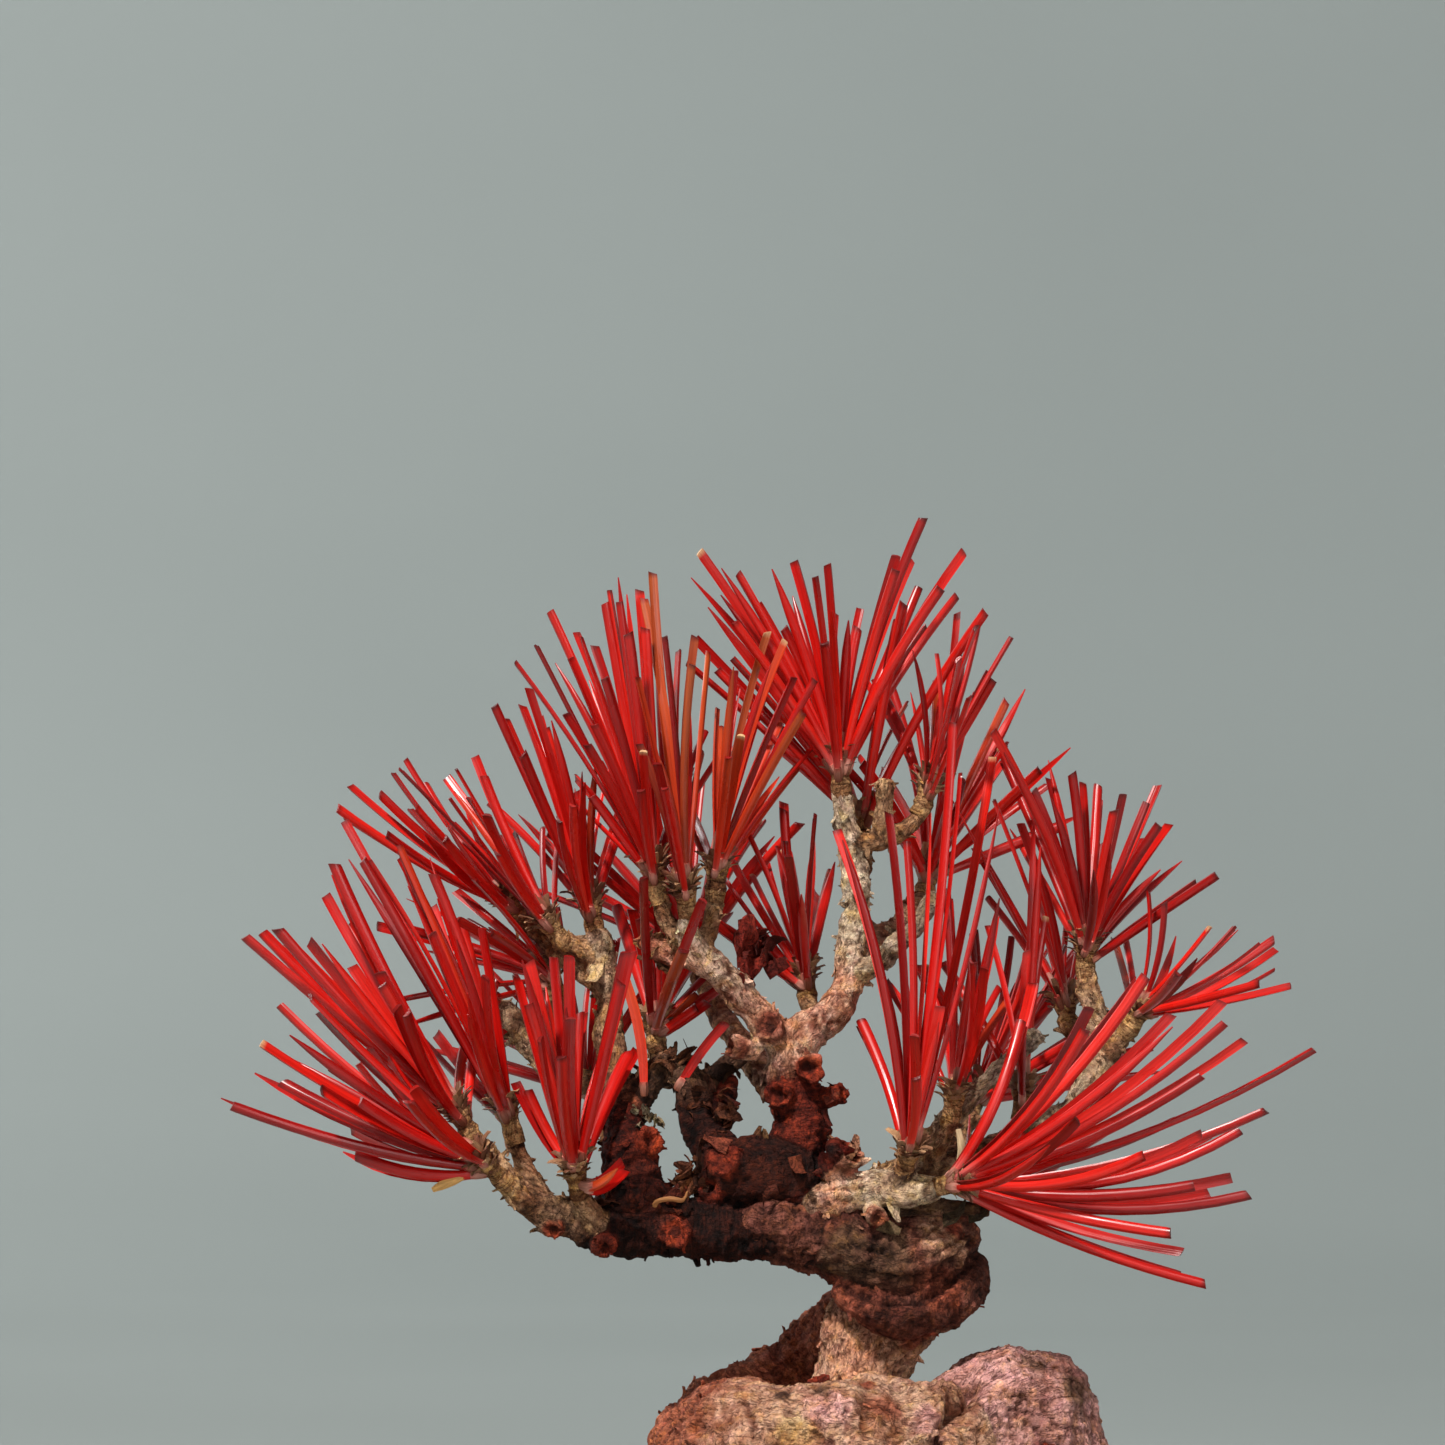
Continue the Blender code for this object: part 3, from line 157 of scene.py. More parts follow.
# The wood, as (x, y, z, radius) along the middle of each limb. The trunk rises on the right, folds
# over to the front, runs left, turns round to the back and climbs right again into its upper coil.
LIMBS = {
    "foot": (14, 4.2, (
        (33, 3, 22, 9.8), (33.2, 3, 30, 10.2), (32.6, 2.6, 39, 10.2), (31.2, 1.6, 45, 9.4),
        (30.4, 0, 49, 8.6),
        (27, -3.4, 49.6, 7.8), (21, -7, 47, 7.6), (14, -9, 46, 6.5))),
    "fold": (15, 4.0, (
        (21.6, -10, 46.4, 4.6), (19.8, -10.4, 46.4, 8.0), (15.4, -11, 46, 9.5), (8, -11.6, 45.7, 9.5),
        (0, -10.5, 45.6, 9.3), (-4, -6, 45.6, 8.7),
        (-5.6, 1, 46.6, 8.0), (-3.6, 8, 48, 6.9), (2, 11, 51.2, 6.4), (7.4, 11, 55.4, 6.2),
        (12.2, 9.6, 60.7, 6.0), (16.4, 6, 65.2, 6.3), (18.7, 0.4, 67.4, 6.7), (15, -4, 69, 6.2),
        (9.5, -6, 70.7, 5.4), (4, -6.5, 72.4, 4.2), (-2, -7, 72.5, 3.1))),
    "strand": (12, 3.4, (
        (9.5, -3.5, 47, 5.4), (10.2, -2.5, 54, 5.2), (12.5, -1.5, 60, 5.9), (16.5, -1, 66.5, 7.6))),
    "coil_ridge": (6, 3.6, (
        (8.2, -8, 66.6, 1.6), (12, -8.6, 63.6, 2.4), (17, -7.4, 63, 2.7), (22, -4.2, 65, 2.8),
        (24, 0.5, 68, 2.2))),
    "coil_top": (6, 3.6, (
        (7, -8.5, 69.5, 1.7), (13, -9, 68.2, 2.3), (19, -7, 69.6, 2.6), (22.4, -2.5, 71.6, 2.6),
        (20, 2.5, 73, 1.8))),
    "low_branch": (8, 3.4, (
        (6, -6, 71.6, 4.2), (2.6, -6.6, 72.7, 3.5), (-3.2, -7.2, 72.4, 3.2), (-9, -8, 72.8, 3.1),
        (-15, -9, 72.5, 2.9),
        (-19.7, -10, 72.9, 2.7), (-23.8, -11.5, 74.4, 2.1), (-27, -13, 75.6, 1.7), (-30, -14.8, 78, 1.4))),
    "low_left_twig": (5, 3.6, ((-25, -11.4, 75, 1.6), (-28, -8.6, 79, 1.2), (-29.6, -8.4, 83.4, 1.1))),
    "low_tip_twig": (5, 3.6, ((-26.5, -12, 75.6, 1.5), (-30.6, -11, 79.6, 1.2), (-34.4, -11.4, 83.6, 1.1))),
    "low_front_twig": (5, 3.6, ((-20, -11, 73, 1.8), (-21.8, -13.8, 76.8, 1.3))),
    "stem": (9, 3.4, (
        (4, -6, 71, 4.2), (3.8, -5.6, 74.5, 3.9), (3.8, -5, 80, 3.3), (3.6, -4.4, 86, 3.0),
        (2.8, -3.8, 92, 2.7), (1.8, -3.4, 96, 2.4))),
    "left_fork": (7, 3.0, (
        (2, -3.5, 94.5, 2.2), (-1.5, -4, 98.2, 2.0), (-3.8, -4.6, 101, 1.9), (-6.5, -5.4, 103.6, 1.9),
        (-8.9, -6.4, 105.6, 1.7), (-9.2, -7.4, 108.8, 1.2))),
    "centre_left_twig": (5, 3.6, (
        (-8.6, -5.8, 105.2, 1.4), (-11.8, -6, 108.6, 1.1), (-12.8, -6.4, 111.6, 1.0))),
    "centre_right_twig": (5, 3.6, (
        (-8.2, -5.4, 105, 1.4), (-6.6, -3.8, 108.6, 1.1), (-6.2, -3.6, 111.6, 1.0))),
    "left_stub": (5, 3.6, ((-7.6, -5.6, 104, 1.5), (-11.5, -5.2, 105, 1.4), (-14.4, -5, 106.4, 1.1))),
    "right_fork": (7, 3.4, (
        (2.2, -3.6, 93.5, 2.6), (4.6, -3.2, 95.6, 2.4), (7.6, -2.2, 98, 2.2), (9.4, -1.2, 101.2, 1.9),
        (9.9, -0.4, 106.4, 1.7), (10.6, 0.4, 112.3, 1.8), (9.9, 1.2, 117, 1.6), (9.2, 1.6, 121, 1.4),
        (8.8, 1.8, 123.4, 1.2))),
    "dead_branchlet": (5, 3.6, (
        (9.7, -1, 102.3, 1.5), (13.2, -2, 104, 1.4), (16.2, -2.6, 107, 1.2), (19.4, -3, 110.8, 1.0))),
    "top_right_twig": (5, 3.6, (
        (10, 1, 117.4, 1.3), (13.6, 1.8, 118.2, 1.2), (16.4, 2.4, 119.6, 1.1), (18, 2.8, 121.6, 1.0))),
    "cut_stub": (5, 3.6, ((13.2, 1.6, 118.2, 1.1), (13.8, 1.4, 121.4, 1.1), (13.9, 1.2, 124.4, 1.0))),
    "top_back_twig": (5, 3.6, ((10.4, 0.8, 113.4, 1.3), (11.4, 4, 115.4, 1.2), (11.4, 6.6, 117.6, 1.1))),
    "thick_stub": (10, 3.0, (
        (4, -5.6, 79, 3.5), (0, -6.8, 79.6, 3.9), (-3.6, -7.8, 79.8, 3.6), (-6.6, -8.6, 80.2, 2.5))),
    "link": (7, 3.4, (
        (-3.5, -6.4, 79.6, 2.6), (-7.2, -4.4, 82.8, 2.3), (-8.6, -2.6, 86.4, 2.1), (-9.4, -1.4, 89.8, 2.0),
        (-12.2, -0.8, 91, 1.9), (-15, -1.4, 88.6, 1.9), (-17, -2.4, 86, 1.6))),
    "inner_shard": (5, 3.6, ((-7.4, -3.4, 84, 1.6), (-5.6, -2, 86.8, 1.5), (-4.6, -0.8, 89.4, 1.1))),
    "inner_spur": (5, 3.6, ((-8.8, -2, 87.4, 1.6), (-6.2, -0.4, 90.4, 1.4), (-3.2, 0.4, 92.8, 1.1))),
    "riser": (8, 3.6, (
        (-15.8, -8.8, 73, 3.2), (-16, -7.6, 77.6, 3.7), (-16.6, -5.2, 82.4, 2.7), (-17.4, -1.8, 87.8, 2.2),
        (-18.4, 0.4, 92, 1.8), (-18.9, 1.4, 99, 1.6), (-19.8, 2, 105.4, 1.4), (-20.3, 2.4, 107.4, 1.2))),
    "left_twig": (5, 3.6, (
        (-19.6, 1.9, 104, 1.3), (-22.2, 1.6, 105.4, 1.2), (-24, 1, 106.2, 1.1))),
    "far_left_twig": (5, 3.6, (
        (-19.2, 1.6, 101, 1.3), (-23.4, 4.4, 103.6, 1.2), (-26.6, 5.6, 106.4, 1.1), (-29, 6, 108.4, 1.0))),
    "inner_left_twig": (5, 3.6, ((-11.4, 0.4, 89.4, 1.4), (-12.4, 2, 91.6, 1.2), (-13, 2.8, 93.6, 1.1))),
    "broken_stick": (5, 4, (
        (-18, 0, 89.6, 1.6), (-22.4, 2.8, 89.8, 1.5), (-26, 4.6, 91.4, 1.5), (-28.6, 5.4, 94.6, 1.4),
        (-31, 6, 98, 1.2))),
    "broken_spur": (5, 3.6, ((-25.4, 4.4, 91, 1.3), (-24.8, 6, 96, 1.2), (-25, 6.6, 99.6, 1.1))),
    "light_branch": (8, 2.8, (
        (4.5, -6.6, 74, 3.2), (7.6, -7.6, 75.9, 2.7), (12, -9, 77.5, 2.2), (16.6, -10.6, 77.6, 2.0),
        (19, -11.6, 77.8, 1.6))),
    "light_knob": (6, 2.4, ((15.2, -10, 77.6, 1.9), (15.8, -11.4, 79.4, 1.3))),
    "bark_shard": (4, 6.0, ((14, -8, 75.6, 1.6), (20, -8.6, 75.4, 1.2), (26, -8.8, 75, 0.7))),
    "grey_stick": (5, 4.5, (
        (10, -5.6, 76.6, 1.6), (15.6, -2, 79.4, 1.3), (22.4, 0.6, 86.4, 1.2), (27.2, 2, 91, 1.2),
        (31.4, 2.8, 95, 1.1))),
    "right_branch": (7, 4.0, (
        (9, -4, 74.4, 2.6), (12.6, -1.4, 77.4, 2.3), (20, 2.4, 79.8, 2.0), (27.4, 5.4, 81.7, 1.8),
        (33.2, 8, 84, 1.7),
        (37.4, 9.6, 87.8, 1.6), (40, 10.4, 93.4, 1.6), (38.6, 10.4, 98.4, 1.4), (37.8, 10.4, 102, 1.3))),
    "right_mid_twig": (5, 3.6, ((39.6, 10.4, 92, 1.4), (42.6, 8.8, 95.4, 1.1))),
    "right_back_twig": (5, 3.6, ((39.4, 10.4, 91.2, 1.3), (37.4, 13, 93.4, 1.2), (36, 15, 95.8, 1.1))),
    "inner_twig": (5, 3.6, ((5, -3, 95.6, 1.5), (5.4, 1.4, 96.6, 1.3), (4.8, 5, 99, 1.1))),
    "right_inner_twig": (5, 3.6, ((18, 0.6, 79.4, 1.3), (20, -2.4, 82.4, 1.2), (21.4, -4, 85.4, 1.1))),
    "right_low_twig": (5, 3.6, ((27, 5.2, 81.6, 1.3), (29.2, 5.2, 83.4, 1.2), (30, 5.2, 85.6, 1.1))),
    "back_left_limb": (6, 5, (
        (-9, -7, 73, 2.2), (-11, -2, 74.4, 2.2), (-13.6, 4, 76.4, 2.0), (-17, 11, 80.4, 1.7),
        (-20, 17, 85.4, 1.4))),
    "back_mid_limb": (6, 5, (
        (3.5, -4, 85, 2.0), (1.4, 2, 88, 1.9), (-2, 8, 92.6, 1.7), (-5.6, 14.4, 97.4, 1.5),
        (-8, 19, 102, 1.3))),
    "back_low_limb": (6, 5, (
        (16, 3, 70, 2.6), (16.4, 8, 73.4, 2.3), (18, 12, 76.6, 2.0), (21, 17, 80, 1.7),
        (24, 21.6, 84.6, 1.4))),
    "back_right_limb": (6, 4.5, (
        (9.8, -0.6, 104, 1.7), (12.2, 5, 105.8, 1.6), (16, 12.4, 108, 1.4), (18.6, 18, 111.4, 1.2))),
    "root_right": (7, 4.0, ((32, 3, 34, 5), (38.6, 3.6, 33, 3.8), (42, 4.6, 25.6, 1.8))),
    "root_front": (7, 4.0, ((33, -1, 34, 5), (36, -10, 33, 3.6), (38, -18, 25, 2.0))),
    "root_back": (7, 4.0, ((31, 6, 34, 5), (26, 15, 33, 3.6), (22, 22, 25, 2.0))),
    "root_left": (7, 4.0, ((28, 4, 32, 5), (17, 5, 31, 3.2), (9, 6, 25, 1.8))),
}
UNDERGROUND = ("foot", "fold", "root_right", "root_front", "root_back", "root_left")

# Old cuts and knobs on the wood: where each stands, the way it faces, its radius and how far out.
SCARS = (
    ((-10.7, -10.4, 72.6), (-0.1, -1, 0), 1.5, 1.6), ((4.6, -7.2, 91.6), (0.3, -1, 0.1), 1.4, 1.5),
    ((1.6, -6.6, 88.4), (-0.4, -1, 0), 1.4, 1.4), ((0.6, -5.6, 96), (-0.4, -0.9, 0.4), 1.5, 1.4),
    ((-2.4, -5.2, 93.6), (-1, -0.5, 0.2), 1.2, 2.4), ((6.4, -4.6, 87.8), (1, -0.3, 0.3), 1.1, 2.6),
    ((12.4, -10.6, 74.6), (0.3, -1, -0.3), 1.1, 1.4), ((8.2, -8.4, 80), (0.5, -0.5, 0.8), 1.9, 2.6),
    ((-19, -12.6, 71.6), (0, -0.8, -0.6), 1.1, 1.3), ((-24.6, -13, 73.4), (-0.4, -0.8, -0.5), 1.0, 1.3),
    ((6.2, -8.5, 54.4), (-0.3, -0.3, 1), 1.2, 1.0), ((21.6, -5.4, 72), (0.5, -1, 0.6), 1.1, 0.9),
    ((-6.4, -8.6, 76.4), (-0.3, -0.5, 1), 1.3, 1.8),
    ((3, -13, 36.8), (0, -0.8, -0.5), 1.4, 1.0), ((32, -8.4, 46), (0.3, -1, 0.2), 1.5, 1.0),
    ((-14.4, -7.2, 82.6), (0.6, -0.7, 0.4), 1.4, 1.4), ((-5, -10.4, 80.8), (-0.5, -1, 0.3), 1.7, 1.0),
)

# The sprays: the limb that carries each, the crown of its shoot, and its needle tips seen from the front.
SPRAYS = {
    "left_tip": ("low_branch", (-33.6, -16.8, 81.6), (
        (-64, 88.5), (-49.5, 82), (-51.5, 89.5), (-56, 93), (-58.5, 95), (-57, 99), (-47.5, 92.5),
        (-60, 91))),
    "left_low": ("low_tip_twig", (-36.4, -11.6, 87), (
        (-61, 107), (-59, 107.5), (-57, 108), (-49, 108.5), (-49, 103), (-50.5, 115.5), (-45, 103))),
    "left_mid": ("low_left_twig", (-30.6, -8.4, 87), (
        (-49, 116), (-49.5, 120.5), (-46.5, 116), (-42.5, 115), (-43, 117), (-38.5, 111.5), (-39, 107.5))),
    "front_left": ("low_front_twig", (-22.6, -15.4, 80.4), (
        (-28.5, 104.5), (-25, 104.5), (-23, 105), (-26, 101), (-16.5, 105.5), (-21.5, 98), (-16.5, 80),
        (-29.5, 90))),
    "inner_left": ("inner_left_twig", (-13.4, 3.4, 97), (
        (-16, 110), (-14.5, 107), (-7, 99), (-5, 101))),
    "left_high_a": ("far_left_twig", (-31, 6.4, 111.4), (
        (-50.5, 122), (-49.5, 124.5), (-45.5, 123.5), (-44.5, 126))),
    "left_high_b": ("left_twig", (-26, 0.4, 108.8), (
        (-43, 126.5), (-38, 125.5), (-36.5, 126.5), (-34.5, 128), (-35, 123), (-37.5, 120))),
    "left_top": ("riser", (-21, 2.8, 111), (
        (-32, 134), (-29, 134), (-28, 136), (-27, 132.5), (-20, 128), (-24, 124))),
    "centre_left": ("centre_left_twig", (-13.4, -7, 115.4), (
        (-25.5, 145), (-29.5, 139), (-27, 141), (-25, 139), (-23, 139.5), (-21, 137), (-23.5, 133),
        (-19, 146),
        (-18.5, 147.5), (-17.5, 149), (-16.5, 147), (-15, 147.5), (-21.5, 125))),
    "centre": ("left_fork", (-9.8, -9, 113), (
        (-14.5, 146.5), (-13.5, 149.5), (-12, 142), (-10.5, 140.5), (-8.5, 142), (-7, 140), (-15, 129.5))),
    "centre_right": ("centre_right_twig", (-5.9, -3.6, 115.4), (
        (2, 141.5), (5, 139.5), (5.5, 137), (9, 133), (-4, 138.5), (-0.5, 136))),
    "top": ("right_fork", (8.4, 2, 127.6), (
        (-8, 152), (-9, 149), (-7, 145.5), (-5.5, 147), (-3.5, 149.5), (-1, 146), (0.5, 150),
        (3, 147), (7, 150.5), (8, 145), (9.5, 144), (11, 145.5), (15, 151.5), (16, 149), (18.5, 156.5),
        (18, 148), (23, 152), (22.5, 147))),
    "top_low": ("top_back_twig", (11, 8.2, 121), (
        (25.5, 145), (-8.5, 142), (-9.5, 139), (-2.5, 134.5), (16, 146))),
    "top_right": ("top_right_twig", (19.2, 3.1, 125), (
        (28.5, 142), (22.5, 145), (17, 140.5), (20, 136), (26.5, 137))),
    "right_top": ("right_branch", (37.8, 10.3, 106), (
        (26.5, 131), (28, 129), (31.5, 124), (33.5, 127.5), (36, 126), (39.5, 124.5), (42, 123.5),
        (46.5, 124.5), (47.5, 120), (49.5, 115.5), (53, 114))),
    "right_mid": ("right_mid_twig", (44.2, 7.8, 98.2), (
        (55, 108), (60.5, 105), (58, 106), (60, 102.5), (61.5, 101), (49, 101.5), (45, 112))),
    "right_back": ("right_back_twig", (35.4, 16.2, 99), ((21.5, 123.5), (25, 117), (30, 120), (40, 114))),
    "right_up": ("light_knob", (16.4, -12.8, 82.2), (
        (8, 119.5), (14, 121.5), (19, 121.5), (21.5, 132), (22.5, 126), (13.5, 103), (20, 99))),
    "right_inner": ("right_inner_twig", (22, -4.8, 89), ((27, 111.5), (21, 112.5), (24, 104))),
    "right_in_low": ("right_low_twig", (30.2, 5.4, 89), ((26, 108), (31.5, 121), (33, 109))),
    "right_low": ("light_branch", (22.4, -12.6, 78.4), (
        (50, 84.5), (51, 82), (54, 79), (56, 77), (55, 84.5), (51, 66.5), (48, 70.5), (64, 94),
        (55.5, 95), (42, 91), (37, 99), (31, 101.5), (44, 102.5), (47, 98), (53, 99.5))),
    "inner": ("inner_twig", (4.4, 6.2, 102.6), ((-2, 118.5), (2, 122.5), (5.5, 121), (-2.5, 107.5),
    (-8, 109.5))),
    "back_left": ("back_left_limb", (-21.4, 19.4, 88.8), (
        (-40, 100), (-33, 107), (-25, 110), (-18, 106), (-13, 102), (-42, 93), (-30, 98))),
    "back_mid": ("back_mid_limb", (-9, 21, 105.4), (
        (-26, 119), (-20, 127), (-12, 131), (-4, 128), (4, 120), (-28, 112), (-10, 118))),
    "back_low": ("back_low_limb", (25.4, 23.8, 87.8), (
        (46, 98), (40, 106), (32, 109), (25, 107), (18, 102), (48, 90), (34, 98))),
    "back_right": ("back_right_limb", (19.6, 20, 114.6), (
        (36, 129), (31, 136), (23, 140), (15, 136), (8, 128), (38, 121), (22, 126))),
    "left_middle": ("broken_spur", (-26, 7.2, 103), ((-44, 96), (-41, 105), (-46, 108), (-37, 112))),
}


TRUNK_LIMBS = (
    "foot", "fold", "strand", "coil_ridge", "coil_top", "root_right", "root_front", "root_back", "root_left")

# Kinds of bark: light, middle and dark colour, then how strongly it has rings round the limb, fissures
# along it, and loose plates.
BARK = {
    "tan": ((222, 178, 148), (184, 128, 100), (116, 64, 44), 0.1, 0.7, 0.35),
    # Partly painted highlight: straw is a pale yellow patch of bark on the front lobe, made lighter for a highlight
    # there.
    "straw": ((230, 196, 142), (200, 152, 100), (120, 72, 44), 0.1, 0.7, 0.35),
    # Painted light: climb is the fold's red-brown bark, made lighter to stand in for light that the branches above keep
    # off it.
    "climb": ((216, 130, 100), (168, 88, 64), (78, 35, 23), 0.6, 0.3, 0.8),
    "red_end": ((196, 118, 88), (148, 74, 50), (86, 36, 22), 0.2, 0.3, 0.9),
    "mauve": ((234, 176, 166), (206, 144, 132), (124, 78, 64), 0.15, 0.6, 0.4),
    "olive": ((126, 94, 70), (84, 57, 42), (41, 26, 18), 0.3, 0.3, 0.9),
    "coil": ((146, 88, 72), (104, 54, 41), (46, 21, 14), 0.6, 0.9, 0.4),
    # Painted light: strand is the strand's pale bark, made lighter to stand in for light on a place that lies in shade.
    "strand": ((244, 194, 160), (214, 149, 119), (106, 66, 46), 0.1, 0.4, 0.9),
    # Painted light: ramp is the red-brown bark behind the lobe, made lighter to stand in for light where the low branch
    # and needles shade it.
    "ramp": ((196, 108, 80), (142, 68, 48), (62, 26, 17), 0.6, 0.3, 0.8),
    # Painted shade: dark is the low limbs' dark red-brown bark, made darker still for the shade that the crown casts on
    # them.
    "dark": ((78, 32, 20), (42, 15, 8), (14, 5, 4), 1.0, 0.1, 0.4),
    "red": ((146, 54, 34), (84, 24, 13), (26, 8, 5), 0.9, 0.1, 0.6),
    # Painted light: pink is the forks' pale pink bark, made lighter to stand in for light where the needles above shade
    # it.
    "pink": ((252, 212, 182), (230, 162, 128), (114, 52, 34), 0.35, 0.2, 0.9),
    "cream": ((240, 218, 186), (202, 168, 134), (70, 44, 30), 0.25, 0.3, 1.0),
    "flaky": ((214, 172, 130), (162, 112, 78), (58, 34, 22), 0.25, 0.3, 1.0),
    # Painted shade: log is the stub's dark brown bark, made darker still for the shade that the needles above cast on
    # it.
    "log": ((84, 34, 19), (45, 16, 8), (17, 6, 4), 0.1, 0.15, 0.8),
    "grey": ((182, 164, 142), (130, 106, 85), (54, 42, 32), 0.1, 0.5, 0.9),
    "scar": ((186, 72, 42), (118, 38, 22), (32, 10, 6), 0.3, 0.0, 0.3),
    # Painted shade: hollow is the colour of the shade inside a cut or pit, not of its bark.
    "hollow": ((60, 20, 14), (34, 11, 8), (14, 5, 4), 0.0, 0.0, 0.2),
}

# Which kinds of bark follow each other along a limb, as (share of its length, kind).
LIMB_BARK = {
    "foot": ((0, "red_end"), (0.25, "tan"), (0.5, "mauve"), (1, "mauve")),
    "fold": ((0, "tan"), (0.2, "tan"), (0.28, "red_end"), (0.42, "climb"), (0.6, "climb"), (0.7, "coil"), (1, "coil")),
    "strand": ((0, "strand"), (0.6, "strand"), (1, "coil")),
    "coil_ridge": ((0, "ramp"), (0.4, "coil"), (1, "coil")),
    "coil_top": ((0, "olive"), (0.4, "coil"), (1, "coil")),
    "low_branch": ((0, "dark"), (0.7, "dark"), (1, "flaky")),
    "stem": ((0, "dark"), (0.5, "red"), (0.74, "red"), (0.86, "pink"), (1, "pink")),
    "left_fork": ((0, "pink"), (0.45, "pink"), (0.7, "pink"), (1, "cream")),
    "left_stub": ((0, "pink"), (1, "red_end")),
    "right_fork": ((0, "pink"), (0.35, "pink"), (0.5, "cream"), (1, "cream")),
    "dead_branchlet": ((0, "cream"), (1, "grey")),
    "thick_stub": ((0, "dark"), (0.3, "log"), (1, "log")),
    "link": ((0, "dark"), (0.4, "dark"), (0.6, "olive"), (1, "dark")),
    "inner_shard": ((0, "dark"), (1, "red")),
    "inner_spur": ((0, "dark"), (1, "olive")),
    "riser": ((0, "dark"), (0.35, "red"), (0.7, "flaky"), (1, "cream")),
    "broken_stick": ((0, "dark"), (0.4, "flaky"), (1, "cream")),
    "light_branch": ((0, "dark"), (0.3, "pink"), (0.6, "cream"), (1, "cream")),
    "light_knob": ((0, "cream"), (1, "olive")),
    "bark_shard": ((0, "olive"), (1, "olive")),
    "grey_stick": ((0, "olive"), (0.2, "flaky"), (0.4, "cream"), (1, "grey")),
    "right_branch": ((0, "dark"), (0.2, "flaky"), (0.6, "cream"), (1, "flaky")),
    "back_left_limb": ((0, "dark"), (0.5, "red"), (1, "flaky")),
    "back_mid_limb": ((0, "red"), (0.5, "pink"), (1, "flaky")),
    "back_low_limb": ((0, "coil"), (0.4, "red"), (1, "flaky")),
    "back_right_limb": ((0, "pink"), (1, "flaky")),
    **dict.fromkeys(("root_right", "root_front", "root_back", "root_left"), ((0, "mauve"), (1, "ramp"))),
}
TWIG_BARK = ((0, "flaky"), (1, "flaky"))

# Places with a bark of their own: centre, reach and kind. The hollow patch is painted shade in a pit, and the straw
# patch is partly a painted highlight.
PATCHES = (
    ((36.2, -4, 53.6), 3.2, "olive"), ((30.5, -5, 55.4), 2.8, "olive"), ((-7.5, -9, 50), 6.5, "red_end"),
    ((3, -20.5, 50), 3.4, "straw"), ((12, -14, 56), 1.8, "scar"), ((14, -18, 53), 3.0, "red_end"),
    ((13.5, -5, 59), 3.0, "olive"), ((17.5, -6.5, 60), 2.2, "ramp"),
    ((9, -10, 70.5), 4.0, "olive"), ((14, -9, 69.5), 4.0, "olive"), ((20.5, -7, 71.5), 4.0, "strand"),
    ((20, -8, 66), 3.5, "ramp"), ((7, -19, 53), 3.4, "mauve"), ((20, -19, 52), 4, "mauve"),
    ((6.2, -16, 54), 1.6, "olive"), ((1.7, -16.4, 54.2), 1.2, "hollow"),
)

# Grooves in the trunk as seen from the front: (x, z) along each, its half width and its depth. Each groove is also
# darkened with painted shade.
GROOVES = (
    (((23.6, 54.6), (21.8, 51.4), (19.8, 48.2), (18.2, 45), (17.2, 42)), 1.3, 3.0),
    (((8.4, 66.4), (12.6, 64.6), (17.4, 64.4), (21.8, 66.5), (24.4, 69.6)), 0.5, 1.0),
    (((11.4, 67.4), (17.0, 67.0), (21.3, 68.7), (24.2, 71.3)), 0.42, 0.8),
    (((10.2, 71.4), (14.8, 69.7), (19.2, 69.8), (23.1, 72.2)), 0.45, 0.8),
    (((10.4, 56.8), (11.5, 53.0), (11.0, 49.6)), 0.5, 0.9),
    (((-3.0, 53.4), (-1.6, 50.2), (-2.4, 47.0)), 0.4, 0.6), (((4.6, 50.4), (7.4, 48.2), (8.0, 45.4)), 0.35, 0.5),
    (((28.4, 53.4), (31.6, 52.6), (34.0, 49.8)), 0.4, 0.6), (((30.0, 50.4), (32.4, 48.6), (33.0, 45.6)), 0.4, 0.6),
)


def clear_default_scene():
    for name in ("Cube", "Light", "Camera"):
        thing = bpy.data.objects.get(name)
        if thing:
            bpy.data.objects.remove(thing, do_unlink=True)


def linear(colour):
    """Linear values of a colour given as 0 to 255."""
    return tuple((c / 255 / 12.92) if c <= 10 else ((c / 255 + 0.055) / 1.055) ** 2.4 for c in colour)


def blend(first, second, share):
    return tuple(a + (b - a) * share for a, b in zip(first, second))


# Node materials ------------------------------------------------------------

